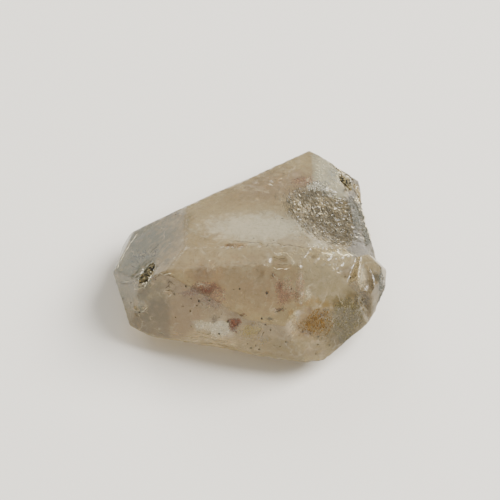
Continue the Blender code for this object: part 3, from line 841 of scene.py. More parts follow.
def gap_to_border(point, corners):
    """How far a pixel is outside an area's border; inside, the value is negative."""
    nearest = math.inf
    inside = False
    for start, end in zip(corners, corners[1:] + corners[:1]):
        run_x, run_y = end[0] - start[0], end[1] - start[1]
        share = (point.x - start[0]) * run_x + (point.y - start[1]) * run_y
        share = min(max(share / (run_x * run_x + run_y * run_y), 0.0), 1.0)
        off = (start[0] + run_x * share - point.x, start[1] + run_y * share - point.y)
        nearest = min(nearest, math.hypot(*off))
        if (start[1] > point.y) != (end[1] > point.y):
            if point.x < start[0] + run_x * (point.y - start[1]) / run_y:
                inside = not inside
    return -nearest if inside else nearest


# The crystal's skin


def welded(node):
    """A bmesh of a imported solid, in millimetres, with its split corners joined again."""
    shape = bmesh.new()
    shape.from_mesh(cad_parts[node].data)
    bmesh.ops.remove_doubles(shape, verts=shape.verts[:], dist=1e-7)
    bmesh.ops.recalc_face_normals(shape, faces=shape.faces[:])
    bmesh.ops.scale(shape, vec=(1 / MM, 1 / MM, 1 / MM), verts=shape.verts[:])
    shape.normal_update()
    return shape


def diced(shape, cell):
    """A mesh that covers the shape with even cells."""
    rough = bpy.data.meshes.new("rough")
    shape.to_mesh(rough)
    carrier = link("rough", rough)
    remesh = carrier.modifiers.new("even cells", "REMESH")
    remesh.mode = "VOXEL"
    remesh.voxel_size = cell
    remesh.adaptivity = 0.0
    evaluated = carrier.evaluated_get(bpy.context.evaluated_depsgraph_get())
    mesh = bpy.data.meshes.new_from_object(evaluated)
    bpy.data.objects.remove(carrier)
    return mesh


def halve_cells(mesh, zones):
    """Splits each cell inside the zones into four."""
    shape = bmesh.new()
    shape.from_mesh(mesh)
    edges = set()
    for face in shape.faces:
        middle = face.calc_center_median()
        if any((middle - Vector(centre)).length < radius for centre, radius in zones):
            edges.update(face.edges)
    bmesh.ops.subdivide_edges(shape, edges=list(edges), cuts=1, use_grid_fill=True)
    shape.to_mesh(mesh)
    shape.free()


def grown_tree(points):
    """A quick finder of the points that are near a place."""
    tree = kdtree.KDTree(len(points))
    for index, point in points:
        tree.insert(point, index)
    tree.balance()
    return tree


class Skin:
    """The crystal's fine surface: how deep each point is cut, and its colours."""

    def __init__(self, shape):
        solid = BVHTree.FromBMesh(shape)
        self.mesh = diced(shape, SKIN_CELL)
        halve_cells(self.mesh, FINE_ZONES)
        self.facets = []
        for vertex in self.mesh.vertices:
            place, facet, face, gap = solid.find_nearest(vertex.co)
            vertex.co = place
            self.facets.append(facet)
        self.mesh.update()
        self.places = [vertex.co.copy() for vertex in self.mesh.vertices]
        self.normals = [vertex.normal.copy() for vertex in self.mesh.vertices]
        self.tree = grown_tree(list(enumerate(self.places)))
        self.depth = [0.0] * len(self.places)
        self.dark = [0.0] * len(self.places)
        self.pale = [0.0] * len(self.places)
        self.paint = [(0.0, 0.0, 0.0, 0.0)] * len(self.places)
        self.pixels = {}
        away = view_axes()[0]
        for index, facet in enumerate(self.facets):
            if facet.dot(away) > 0:
                self.pixels[index] = pixel_of(self.places[index])
        self.picture = grown_tree(list(self.pixels.items()))
        for index, facet in enumerate(self.facets):
            colour, strength = facet_tint(facet)
            self.stain(index, colour, strength)

    def stain(self, index, colour, strength):
        """Lays a colour over what one point has so far."""
        *under, cover = self.paint[index]
        total = strength + cover * (1 - strength)
        if total > 0:
            share = strength / total
            mixed = [old * (1 - share) + new * share for old, new in zip(under, colour)]
            self.paint[index] = (*mixed, total)

    def facing_camera(self, index):
        """0 where the skin turns away from the camera, and 1 where it plainly faces it."""
        return fade(self.facets[index].dot(view_axes()[0]), 0.0, 0.2)

    def add_panel(self, panel):
        middle = Vector((*panel.corners[0], 0))
        reach = max((Vector((*corner, 0)) - middle).length for corner in panel.corners)
        for pixel, index, gap in self.picture.find_range(middle, reach + panel.blur):
            wobble = noise.noise(pixel / 5) * panel.blur
            outside = gap_to_border(pixel, panel.corners) + wobble
            share = fade(outside, panel.blur, -panel.blur) * self.facing_camera(index)
            self.stain(index, panel.colour, panel.strength * share)

    def add_blot(self, blot):
        middle = Vector((*blot.spot, 0))
        for pixel, index, gap in self.picture.find_range(middle, max(blot.reach) * 1.3):
            offset = pixel - middle
            out = math.hypot(offset.x / blot.reach[0], offset.y / blot.reach[1])
            out += 0.3 * noise.noise(pixel / (0.8 * min(blot.reach)))
            share = fade(out, 1.1, 0.3) * self.facing_camera(index)
            self.stain(index, blot.colour, blot.strength * share)

    def wave(self):
        """Adds the slow swell and fine ripple of the grown faces."""
        for index, place in enumerate(self.places):
            swell = SWELL_HEIGHT * uneven(place / SWELL_LENGTH)
            self.depth[index] += swell + RIPPLE_HEIGHT * uneven(place / RIPPLE_LENGTH)

    def wear_edges(self, edges):
        """Rounds and pales the skin along the crystal's long edges."""
        for index, place in enumerate(self.places):
            gap = edges.find(place)[2]
            if gap < WORN_BAND:
                near = 1 - gap / WORN_BAND
                bite = max(0.0, noise.noise(place / WORN_GRAIN) + 0.25)
                self.depth[index] += WORN_DEPTH * near * (0.4 + 2.2 * bite)
                raise_to(self.pale, index, near * (0.1 + 0.5 * bite))

    def roughen(self, patch):
        """Breaks one patch into ragged steps with pale crests."""
        centre = Vector(patch.centre)
        for place, index, gap in self.tree.find_range(centre, patch.radius):
            inside = fade(gap, patch.radius, patch.radius * 0.45)
            crack = 1 - 2 * abs(noise.noise(place / (patch.grain * 0.8) + Vector((7, 3, 5))))
            self.depth[index] += patch.height * inside * uneven(place / patch.grain)
            crest = max(0.0, crack - 0.55) / 0.45
            raise_to(self.pale, index, patch.pale * inside * crest)

    def score(self, stroke):
        """Cuts one short stroke, and paints the shade and highlight that the stroke asks for."""
        place, index, gap = self.tree.find(stroke.middle)
        normal = self.facets[index]
        along = (stroke.along - normal * stroke.along.dot(normal)).normalized()
        across = normal.cross(along)
        reach = stroke.length / 2
        for point, index, gap in self.tree.find_range(place, reach + stroke.width):
            offset = point - place
            down = offset.dot(along) / reach
            side = offset.dot(across) / (stroke.width / 2)
            if abs(down) >= 1 or abs(side) >= 1:
                continue
            cut = (1 - down * down) * (1 - side * side)
            shown = min(1.0, 1.8 * cut)
            raise_to(self.depth, index, stroke.depth * cut + CUT_SINK)
            raise_to(self.dark, index, stroke.dark * shown)
            raise_to(self.pale, index, stroke.pale * shown)

    def bite(self, centre, radius, pale):
        """Takes a small shell-shaped flake out of the skin."""
        for place, index, gap in self.tree.find_range(centre, radius):
            offset = place - centre
            rise = offset.dot(self.normals[index])
            cut = rise + math.sqrt(rise * rise + radius * radius - offset.length_squared)
            raise_to(self.depth, index, min(cut, radius * 0.4))
            raise_to(self.pale, index, pale * fade(gap, radius * 0.75, radius))

    def finish(self, name, low, high):
        """The finished piece, kept inside the box and marked for its material."""
        for index, vertex in enumerate(self.mesh.vertices):
            place = self.places[index] - self.normals[index] * self.depth[index]
            held = [min(max(place[axis], low[axis]), high[axis]) for axis in range(3)]
            self.places[index] = Vector(held)
            vertex.co = self.places[index] * MM
        self.mesh.update()
        self.mesh.name = name
        # The dark mark is painted shade in the cuts; the pale mark is wear and chips, with painted
        # highlights on the cuts.
        self.mark("dark", "FLOAT", "value", self.dark)
        self.mark("pale", "FLOAT", "value", self.pale)
        flat = [value for colour in self.paint for value in colour]
        self.mark("stain", "FLOAT_COLOR", "color", flat)
        return link(name, self.mesh)

    def mark(self, name, kind, field, values):
        layer = self.mesh.attributes.new(name, kind, "POINT")
        layer.data.foreach_set(field, values)

    def surface(self):
        """The finished skin, for finding places on it."""
        faces = [tuple(face.vertices) for face in self.mesh.polygons]
        return BVHTree.FromPolygons(self.places, faces)


def facet_tint(facet):
    """The colour of the facet that faces this way, and its strength."""
    for tint in FACET_TINTS:
        if facet.dot(outward(tint.facing, tint.tilt)) > FACET_MATCH:
            return tint.colour, tint.strength
    return (0.0, 0.0, 0.0), 0.0


def long_edges(shape):
    """Points along the solid's long, sharp edges."""
    points = []
    for edge in shape.edges:
        if edge.calc_length() < EDGE_LENGTH or len(edge.link_faces) != 2:
            continue
        if edge.calc_face_angle() < math.radians(EDGE_ANGLE):
            continue
        start, end = (vertex.co for vertex in edge.verts)
        steps = int(edge.calc_length() / EDGE_STEP) + 1
        points += [start.lerp(end, step / steps) for step in range(steps + 1)]
    return points


def hackle_route(draw):
    """One short, curly route in the hollow: steep at its left, nearly level at its right."""
    slant = math.radians(HACKLE_SLANT)
    around = draw.uniform(0, math.tau)
    reach = draw.random() ** 0.6
    over, down = reach * math.cos(around), reach * math.sin(around)
    along_x, along_y = over * HACKLE_REACH[0], down * HACKLE_REACH[1]
    middle_x = HACKLE_MIDDLE[0] + along_x * math.cos(slant) - along_y * math.sin(slant)
    middle_y = HACKLE_MIDDLE[1] + along_x * math.sin(slant) + along_y * math.cos(slant)
    turn = HACKLE_STEEPEST - HACKLE_TURN * fade(over, -0.8, 0.7)
    turn = math.radians(turn + draw.gauss(0, HACKLE_STRAY))
    length = draw.uniform(*HACKLE_LENGTH) * (0.8 + 0.4 * fade(over, 0.0, 0.8))
    start = draw.uniform(0, math.tau)
    curl = draw.uniform(*HACKLE_CURL)
    route = []
    for step in range(5):
        down = (step / 4 - 0.5) * length
        side = curl * math.sin(start + down * 1.25)
        route.append((
            middle_x + down * math.cos(turn) - side * math.sin(turn),
            middle_y + down * math.sin(turn) + side * math.cos(turn),
        ))
    return route


def hackle_strokes(solid, draw):
    """The cuts that leave the hollow's floor torn, with their painted shade and highlights."""
    strokes = []
    for _ in range(HACKLE_CUTS):
        route = hackle_route(draw)
        start, end = (shown_by(solid, *route[step])[0] for step in (0, 4))
        strokes.append(Stroke(
            middle=(start + end) / 2,
            along=end - start,
            length=(end - start).length,
            width=draw.uniform(*HACKLE_WIDTH) * PIXEL * CUT_WIDENING,
            depth=draw.uniform(*HACKLE_DEPTH),
            dark=draw.uniform(*CUT_DARK) * (draw.random() < CUT_DARK_SHARE),
            pale=draw.uniform(*CUT_PALE) * (draw.random() < CUT_PALE_SHARE),
        ))
    return strokes


def quartz_skin(shape):
    """The crystal's skin, with all that breaks and stains it."""
    draw = random.Random(11)
    skin = Skin(shape)
    skin.wave()
    for patch in ROUGH_PATCHES:
        skin.roughen(patch)
    edges = long_edges(shape)
    skin.wear_edges(grown_tree(list(enumerate(edges))))
    for point in draw.sample(edges, EDGE_BITES):
        index = skin.tree.find(point)[1]
        radius = draw.uniform(*BITE_RADIUS)
        centre = point + skin.normals[index] * radius * 0.55
        skin.bite(centre, radius, draw.uniform(*BITE_PALE))
    for stroke in hackle_strokes(BVHTree.FromBMesh(shape), draw):
        skin.score(stroke)
    for panel in PANELS:
        skin.add_panel(panel)
    for blot in BLOTS:
        skin.add_blot(blot)
    return skin


# Flakes, grains, threads and needles


def flake(place, facing, radius, thickness, draw):
    """A thin, ragged plate, as its corners and faces."""
    side, up = crossways(facing)
    count = draw.randint(6, 10)
    corners = []
    for step in range(count):
        around = math.tau * step / count
        reach = radius * draw.uniform(0.35, 1.0)
        corners.append(place + (side * math.cos(around) + up * math.sin(around)) * reach)
    corners += [place + facing * thickness / 2, place - facing * thickness / 2]
    faces = []
    for step in range(count):
        following = (step + 1) % count
        faces += [(step, following, count), (following, step, count + 1)]
    return corners, faces


def tapered_faces(sides, rings):
    """The faces of a closed tube: from a point, along some rings of corners, to a point."""
    last = 1 + sides * rings
    end = last - sides
    faces = []
    for step in range(sides):
        following = (step + 1) % sides
        faces.append((0, 1 + following, 1 + step))
        for here in range(1, end, sides):
            there = here + sides
            faces.append((here + step, here + following, there + following, there + step))
        faces.append((end + step, end + following, last))
    return faces


def needle(start, end, width, bulge):
    """A three-sided needle that tapers to both ends, as its corners and faces."""
    run = end - start
    side, up = crossways(run.normalized())
    corners = [start]
    for share in (0.3, 0.7):
        middle = start + run * share + bulge
        for step in range(3):
            around = math.tau * step / 3
            corners.append(middle + (side * math.cos(around) + up * math.sin(around)) * width / 2)
    corners.append(end)
    return corners, tapered_faces(3, 2)


def stops_along(route):
    """Evenly spaced points along a route of pixels."""
    corners = [Vector((*corner, 0)) for corner in route]
    stops = []
    for start, end in zip(corners, corners[1:]):
        steps = max(1, round((end - start).length / THREAD_STEP))
        stops += [start.lerp(end, step / steps) for step in range(steps)]
    return stops + [corners[-1]]


def thread(surface, route, width, depth, wander, draw):
    """A thin, uneven thread in the skin, along a route of the photograph's pixels."""
    stops = stops_along(route)
    shift = Vector((draw.uniform(0, 90), draw.uniform(0, 90), 0))
    seats = []
    for stop in stops:
        sway = noise.noise_vector((stop + shift) / THREAD_SWAY) * wander
        seats.append(shown_by(surface, stop.x + sway.x, stop.y + sway.y))
    middles = [place - facet * depth for place, facet in seats]
    corners = [middles[0]]
    for index in range(1, len(middles) - 1):
        run = (middles[index + 1] - middles[index - 1]).normalized()
        middle, facet = middles[index], seats[index][1]
        side = facet.cross(run).normalized()
        half = width / 2 * (0.75 + 0.7 * noise.noise((stops[index] + shift) / 2))
        corners += [middle + side * half, middle + facet * half * 0.5]
        corners += [middle - side * half, middle - facet * half * 0.5]
    corners.append(middles[-1])
    return corners, tapered_faces(4, len(middles) - 2)


def gathered(name, parts):
    """One joined object of many small closed shapes, given in millimetres."""
    corners, faces = [], []
    for part_corners, part_faces in parts:
        first = len(corners)
        corners += [corner * MM for corner in part_corners]
        faces += [tuple(first + index for index in face) for face in part_faces]
    mesh = bpy.data.meshes.new(name)
    mesh.from_pydata(corners, [], faces)
    mesh.update()
    return link(name, mesh)


def leaning(facet, tilt, draw):
    """A direction near the one that the skin faces: further off, the larger the tilt."""
    return (facet + any_direction(draw) * tilt).normalized()


def seat_on(face, draw):
    """A random point of a face."""
    corners = [vertex.co for vertex in face.verts]
    mix = [draw.random() for _ in corners]
    total = sum(mix)
    return sum((corner * share / total for corner, share in zip(corners, mix)), Vector())


def buried(kind, place, facet, tilt, sink, draw):
    """One flake of a cluster or a bed, under this place of the skin."""
    radius = draw.uniform(*kind.size)
    lean = leaning(facet, tilt, draw)
    depth = draw.uniform(*kind.depth) + radius * min(tilt, SINK_TILT) * sink[0] + sink[1]
    return flake(place - facet * depth, lean, radius, radius * FLAKE_THICKNESS, draw)


def scattered(clusters, surface, tilt, draw):
    """Flakes under the skin, in clusters: thickest in the middle of each."""
    parts = []
    for cluster in clusters:
        for _ in range(cluster.count):
            offset = Vector([draw.gauss(0, 0.5) * spread for spread in cluster.spread])
            place, facet, face, gap = surface.find_nearest(Vector(cluster.centre) + offset)
            parts.append(buried(cluster, place, facet, tilt, CLUSTER_SINK, draw))
    return parts


def bedded(beds, surface, tilt, draw):
    """Flakes under the skin in the ovals that the photograph shows, with ragged borders."""
    parts = []
    for bed in beds:
        spot = Vector((*bed.spot, 0))
        for _ in range(bed.count):
            around = draw.uniform(0, math.tau)
            over, down = math.cos(around), math.sin(around)
            border = 1 + BED_RAGGED * noise.noise(spot + Vector((over, down, 0)))
            out = border * math.sqrt(draw.random())
            x = spot.x + bed.reach[0] * out * over
            y = spot.y + bed.reach[1] * out * down
            place, facet = shown_by(surface, x, y)
            parts.append(buried(bed, place, facet, tilt, BED_SINK, draw))
    return parts


def pit_halo(surface, shape, draw):
    """The crushed, milky quartz behind the wall of the pit."""
    parts = []
    for wall in shape.faces:
        for _ in range(int(wall.calc_area() * HALO_FLAKES) + 1):
            place, facet, face, gap = surface.find_nearest(seat_on(wall, draw))
            if wall.normal.dot(facet) > -0.1:
                continue
            radius = draw.uniform(*HALO_SIZE)
            lean = leaning(facet, HALO_TILT, draw)
            depth = draw.uniform(*HALO_DEPTH)
            parts.append(flake(place - facet * depth, lean, radius, HALO_THICKNESS, draw))
    return parts


def specks(surface, draw):
    """The dark specks that the photograph shows one by one, each of a few flakes."""
    parts = []
    for x, y, reach in SPECKS:
        for _ in range(SPECK_FLAKES):
            near_x, near_y = (at + draw.gauss(0, SPECK_SPREAD) for at in (x, y))
            place, facet = shown_by(surface, near_x, near_y)
            radius = reach * PIXEL * draw.uniform(*SPECK_SIZE)
            lean = leaning(facet, SPECK_TILT, draw)
            parts.append(flake(place, lean, radius, radius * SPECK_THICKNESS, draw))
    return parts


def crushed_border(surface, crumbs, draw):
    """Crumbs of crushed, pale quartz along their route."""
    parts = []
    for _ in range(crumbs.count):
        leg = draw.randrange(len(crumbs.route) - 1)
        share = draw.random()
        start, end = crumbs.route[leg], crumbs.route[leg + 1]
        x = start[0] * (1 - share) + end[0] * share + draw.gauss(0, crumbs.spread)
        y = start[1] * (1 - share) + end[1] * share + draw.gauss(0, crumbs.spread)
        place, facet = shown_by(surface, x, y)
        radius = draw.uniform(*crumbs.size)
        lean = leaning(facet, CRUMB_TILT, draw)
        depth = radius * crumbs.sink
        parts.append(flake(place - facet * depth, lean, radius, radius * CRUMB_THICKNESS, draw))
    return parts


def lines(surface, marks, depth, draw):
    """Single threads along the routes of a table."""
    parts = []
    for mark in marks:
        parts.append(thread(surface, mark.route, mark.width * PIXEL, depth, LINE_WANDER, draw))
    return parts


def hackle_threads(surface, count, depth, draw):
    """The curls and torn lips of the hollow's floor: the dark ones partly painted shade of its
    torn steps, the pale ones partly painted highlights on its lips.
    """
    parts = []
    for _ in range(count):
        width = draw.uniform(*HACKLE_WIDTH) * PIXEL
        parts.append(thread(surface, hackle_route(draw), width, depth, CURL_WANDER, draw))
    return parts


def brushed(surface, tufts, draw):
    """Short threads that lie about one slope in ovals of pixels."""
    parts = []
    for tuft in tufts:
        for _ in range(tuft.count):
            x, y = (at + draw.gauss(0, reach / 2) for at, reach in zip(tuft.middle, tuft.reach))
            turn = math.radians(tuft.slope + draw.gauss(0, TUFT_SPREAD))
            half = draw.uniform(*tuft.length) / 2
            over, down = half * math.cos(turn), half * math.sin(turn)
            width = draw.uniform(*TUFT_WIDTH) * PIXEL
            route = ((x - over, y - down), (x, y), (x + over, y + down))
            parts.append(thread(surface, route, width, CURL_DEPTH, TUFT_WANDER, draw))
    return parts


def spray(surface, draw):
    """Dark feathery threads that fan out from the pit under the tip's face."""
    parts = []
    for _ in range(SPRAY_NEEDLES):
        turn = math.radians(draw.gauss(SPRAY_BEARING, SPRAY_SPREAD))
        over, down = math.cos(turn), math.sin(turn)
        out = draw.uniform(*SPRAY_START)
        length = draw.uniform(*SPRAY_LENGTH)
        root_x = SPRAY_ROOT[0] + SPRAY_ROOT_REACH[0] * over
        root_y = SPRAY_ROOT[1] + SPRAY_ROOT_REACH[1] * down
        stops = (out, out + length / 2, out + length)
        route = [(root_x + over * stop, root_y + down * stop) for stop in stops]
        width = draw.uniform(*SPRAY_WIDTH) * PIXEL
        parts.append(thread(surface, route, width, CURL_DEPTH, TUFT_WANDER, draw))
    return parts


def hull_of(shape):
    """The solid's hull, which closes over its pits."""
    hull = shape.copy()
    found = bmesh.ops.convex_hull(hull, input=hull.verts[:])
    spare = set(found["geom_interior"] + found["geom_unused"])
    bmesh.ops.delete(hull, geom=[item for item in spare if isinstance(item, bmesh.types.BMVert)])
    bmesh.ops.recalc_face_normals(hull, faces=hull.faces[:])
    tree = BVHTree.FromBMesh(hull)
    hull.free()
    return tree


def sunk(hull, point):
    """The point, moved in where it isn't clear below the hull."""
    place, facet, face, gap = hull.find_nearest(point)
    rise = (point - place).dot(facet)
    return point - facet * max(0.0, rise + BLADE_CLEARANCE)


def blades(hull, shape, crust, draw):
    """A felt of blades on a crust: matted, and mostly along one direction."""
    along = outward(crust.facing, crust.tilt)
    faces = [face for face in shape.faces if face.calc_area() > 0]
    weights = [face.calc_area() for face in faces]
    parts = []
    for face in draw.choices(faces, weights, k=crust.count):
        seat = seat_on(face, draw)
        lean = (along + any_direction(draw) * BLADE_TILT + face.normal * BLADE_LIFT).normalized()
        half = lean * draw.uniform(*crust.length) / 2
        start, end = sunk(hull, seat - half), sunk(hull, seat + half)
        parts.append(needle(start, end, draw.uniform(*BLADE_WIDTH), face.normal * BLADE_BULGE))
    return parts


# Shader nodes


def feed(tree, value, socket):
    """Links an output to a socket, or sets the socket's own value."""
    if isinstance(value, bpy.types.NodeSocket):
        tree.links.new(value, socket)
    else:
        socket.default_value = value


def worked_out(tree, kind, operation, values, output):
    """What a new math node of this kind gives."""
    node = tree.nodes.new(kind)
    node.operation = operation
    for value, socket in zip(values, node.inputs):
        feed(tree, value, socket)
    return node.outputs[output]


def reckon(tree, operation, *values):
    """A sum of plain numbers."""
    return worked_out(tree, "ShaderNodeMath", operation, values, "Value")


def move(tree, operation, *values):
    """A sum of vectors, as a vector."""
    return worked_out(tree, "ShaderNodeVectorMath", operation, values, "Vector")


def measure(tree, operation, *values):
    """A sum of vectors, as a plain number."""
    return worked_out(tree, "ShaderNodeVectorMath", operation, values, "Value")


def ease(tree, value, start, end):
    """An eased step: 0 at start, 1 at end."""
    node = tree.nodes.new("ShaderNodeMapRange")
    node.interpolation_type = "SMOOTHSTEP"
    feed(tree, value, node.inputs["Value"])
    feed(tree, start, node.inputs["From Min"])
    feed(tree, end, node.inputs["From Max"])
    return node.outputs["Result"]


def tinted(tree, factor, under, over):
    """One colour laid over another."""
    node = tree.nodes.new("ShaderNodeMix")
    node.data_type = "RGBA"
    feed(tree, factor, node.inputs[0])
    feed(tree, under, node.inputs[6])
    feed(tree, over, node.inputs[7])
    return node.outputs[2]


def washed(tree, mask, strength, under, over):
    """One colour laid over another where the mask is, as strongly as given."""
    return tinted(tree, reckon(tree, "MULTIPLY", mask, strength), under, over)


def cloud(tree, place, scale, detail, roughness=0.5):
    """A soft noise, from 0 to 1, as a number and as a colour."""
    node = tree.nodes.new("ShaderNodeTexNoise")
    feed(tree, place, node.inputs["Vector"])
    feed(tree, scale, node.inputs["Scale"])
    feed(tree, detail, node.inputs["Detail"])
    feed(tree, roughness, node.inputs["Roughness"])
    return node.outputs


def cells(tree, place, scale, feature="F1"):
    """A pattern of uneven cells: the distance in each, and its own colour."""
    node = tree.nodes.new("ShaderNodeTexVoronoi")
    node.feature = feature
    feed(tree, place, node.inputs["Vector"])
    feed(tree, scale, node.inputs["Scale"])
    return node.outputs


VALUE = "NodeSocketFloat"
VECTOR = "NodeSocketVector"


def new_group(name, takes, gives):
    """An empty node group with its sockets: the tree, what comes in and what goes out."""
    tree = bpy.data.node_groups.new(name, "ShaderNodeTree")
    for label, kind in takes.items():
        tree.interface.new_socket(label, in_out="INPUT", socket_type=kind)
    for label, kind in gives.items():
        tree.interface.new_socket(label, in_out="OUTPUT", socket_type=kind)
    way_in = tree.nodes.new("NodeGroupInput")
    way_out = tree.nodes.new("NodeGroupOutput")
    return tree, way_in.outputs, way_out.inputs


def place_group():
    """Where a point is on the stone, in millimetres, plain and shaken for ragged borders."""
    tree, _, gives = new_group("place", {}, {"Place": VECTOR, "Shaken": VECTOR})
    spot = tree.nodes.new("ShaderNodeTexCoord").outputs["Object"]
    place = move(tree, "MULTIPLY", spot, (1 / MM,) * 3)
    shake = cloud(tree, place, SHAKE_SCALE, 4.0)["Color"]
    shake = move(tree, "SUBTRACT", shake, (0.5,) * 3)
    shake = move(tree, "MULTIPLY", shake, (SHAKE_REACH,) * 3)
    feed(tree, place, gives["Place"])
    feed(tree, move(tree, "ADD", place, shake), gives["Shaken"])
    return tree


def stain_group():
    """A soft-edged patch: 1 in its middle, 0 outside its three radii."""
    takes = {"Place": VECTOR, "Centre": VECTOR, "Radii": VECTOR}
    takes |= {"Turn": VALUE, "Grain": VALUE, "Ragged": VALUE}
    tree, takes, gives = new_group("stain", takes, {"Mask": VALUE})
    turned = tree.nodes.new("ShaderNodeVectorRotate")
    turned.rotation_type = "Z_AXIS"
    offset = move(tree, "SUBTRACT", takes["Place"], takes["Centre"])
    feed(tree, offset, turned.inputs["Vector"])
    feed(tree, reckon(tree, "MULTIPLY", takes["Turn"], -math.pi / 180), turned.inputs["Angle"])
    reach = measure(tree, "LENGTH", move(tree, "DIVIDE", turned.outputs["Vector"], takes["Radii"]))
    grain = reckon(tree, "SUBTRACT", takes["Grain"], 0.5)
    reach = reckon(tree, "MULTIPLY_ADD", grain, takes["Ragged"], reach)
    feed(tree, ease(tree, reach, *STAIN_EDGE), gives["Mask"])
    return tree


def specks_group():
    """Scattered small specks: a share of the cells of a given spacing."""
    takes = {"Place": VECTOR, "Spacing": VALUE, "Size": VALUE, "Share": VALUE}
    tree, takes, gives = new_group("specks", takes, {"Mask": VALUE})
    pattern = cells(tree, takes["Place"], reckon(tree, "DIVIDE", 1.0, takes["Spacing"]))
    parts = tree.nodes.new("ShaderNodeSeparateColor")
    feed(tree, pattern["Color"], parts.inputs["Color"])
    chosen = reckon(tree, "LESS_THAN", parts.outputs["Red"], takes["Share"])
    size = reckon(tree, "MULTIPLY", takes["Size"], parts.outputs["Green"])
    dot = ease(tree, pattern["Distance"], size, reckon(tree, "MULTIPLY", size, 0.5))
    feed(tree, reckon(tree, "MULTIPLY", chosen, dot), gives["Mask"])
    return tree


def veins_group():
    """Thin hairlines, broken where their noise is low."""
    takes = {"Place": VECTOR, "Spacing": VALUE, "Width": VALUE}
    tree, takes, gives = new_group("veins", takes, {"Mask": VALUE})
    scale = reckon(tree, "DIVIDE", 1.0, takes["Spacing"])
    gap = cells(tree, takes["Place"], scale, "DISTANCE_TO_EDGE")["Distance"]
    line = ease(tree, gap, reckon(tree, "DIVIDE", takes["Width"], takes["Spacing"]), 0.0)
    broken = ease(tree, cloud(tree, takes["Place"], 0.45, 2.0)["Fac"], 0.48, 0.62)
    feed(tree, reckon(tree, "MULTIPLY", line, broken), gives["Mask"])
    return tree


def mottle_group():
    """Uneven colour, coarse and fine, as one number from 0 to 1."""
    tree, takes, gives = new_group("mottle", {"Place": VECTOR, "Size": VALUE}, {"Mottle": VALUE})
    scale = reckon(tree, "DIVIDE", 1.0, takes["Size"])
    uneven = cloud(tree, takes["Place"], scale, 5.0, roughness=0.62)["Fac"]
    feed(tree, ease(tree, uneven, 0.3, 0.7), gives["Mottle"])
    return tree


def grain_group():
    """The height of a fine frosted grain."""
    tree, takes, gives = new_group("grain", {"Place": VECTOR, "Size": VALUE}, {"Height": VALUE})
    scale = reckon(tree, "DIVIDE", 1.0, takes["Size"])
    coarse = cloud(tree, takes["Place"], scale, 3.0)["Fac"]
    pits = cells(tree, takes["Place"], reckon(tree, "MULTIPLY", scale, 0.6))["Distance"]
    height = reckon(tree, "MULTIPLY_ADD", ease(tree, pits, 0.0, 0.35), 0.4, coarse)
    feed(tree, height, gives["Height"])
    return tree


GROUPS = {
    "place": place_group(),
    "stain": stain_group(),
    "specks": specks_group(),
    "veins": veins_group(),
    "mottle": mottle_group(),
    "grain": grain_group(),
}


def use_group(tree, name, **values):
    """Places a group in a material, fills its inputs and gives its outputs."""
    node = tree.nodes.new("ShaderNodeGroup")
    node.node_tree = GROUPS[name]
    for label, value in values.items():
        feed(tree, value, node.inputs[label])
    return node.outputs


# Materials


def new_material(name, roughness):
    material = bpy.data.materials.new(name)
    material.use_nodes = True
    shader = material.node_tree.nodes["Principled BSDF"]
    shader.inputs["Roughness"].default_value = roughness
    return material, material.node_tree, shader


def mottled(tree, place, size):
    return use_group(tree, "mottle", Place=place, Size=size)["Mottle"]


def frosted(tree, shader, place, size, strength):
    """Gives the surface a fine, frosted grain."""
    node = tree.nodes.new("ShaderNodeBump")
    node.inputs["Strength"].default_value = strength
    node.inputs["Distance"].default_value = GRAIN_HEIGHT * MM
    grain = use_group(tree, "grain", Place=place, Size=size)["Height"]
    feed(tree, grain, node.inputs["Height"])
    feed(tree, node.outputs["Normal"], shader.inputs["Normal"])


def mark_output(tree, name, output):
    """What the skin's points are marked with."""
    node = tree.nodes.new("ShaderNodeAttribute")
    node.attribute_name = name
    return node.outputs[output]


def quartz_colour(tree, place, shaken, fine):
    """The quartz's own colour, then its stains, some of them painted shade, shadow and highlight,
    veils, hairlines, specks, worn places with painted highlights, and the painted shade in the
    cuts, laid over in turn."""
    broad = reckon(tree, "MULTIPLY", mottled(tree, place, BROAD_MOTTLE), 0.6)
    smoke = reckon(tree, "MULTIPLY_ADD", fine, 0.4, broad)
    colour = tinted(tree, smoke, QUARTZ_PALE, QUARTZ_SMOKY)
    for stain in STAINS:
        mask = use_group(
            tree, "stain", Place=shaken, Centre=stain.centre, Radii=stain.radii,
            Turn=stain.turn, Grain=fine, Ragged=stain.ragged,
        )["Mask"]
        colour = washed(tree, mask, stain.strength, colour, (*stain.colour, 1))
    cover, over = (mark_output(tree, "stain", output) for output in ("Alpha", "Color"))
    patchy = reckon(tree, "MULTIPLY_ADD", fine, 0.2, 0.8)
    colour = washed(tree, cover, patchy, colour, over)
    colour = washed(tree, ease(tree, fine, 0.55, 1.0), VEIL_STRENGTH, colour, MILKY)
    grainy = mottled(tree, shaken, GRAINY_MOTTLE)
    colour = washed(tree, ease(tree, grainy, 0.5, 0.0), SMOKE_STRENGTH, colour, SMOKE)
    for where, hair in ((shaken, PALE_HAIRLINES), (place, DARK_HAIRLINES)):
        mask = use_group(tree, "veins", Place=where, Spacing=hair.spacing, Width=hair.width)["Mask"]
        colour = washed(tree, mask, hair.strength, colour, hair.colour)
    dots = use_group(tree, "specks", Place=place, **FINE_SPECKS)["Mask"]
    colour = tinted(tree, dots, colour, SHADE)
    # Worn places and chips, and the cuts' painted highlights.
    pale = ease(tree, mark_output(tree, "pale", "Fac"), 0.0, 1.0)
    colour = tinted(tree, pale, colour, MILKY)
    # Last, the painted shade in the hollow's cuts.
    return washed(tree, mark_output(tree, "dark", "Fac"), DARK_STRENGTH, colour, SHADE)


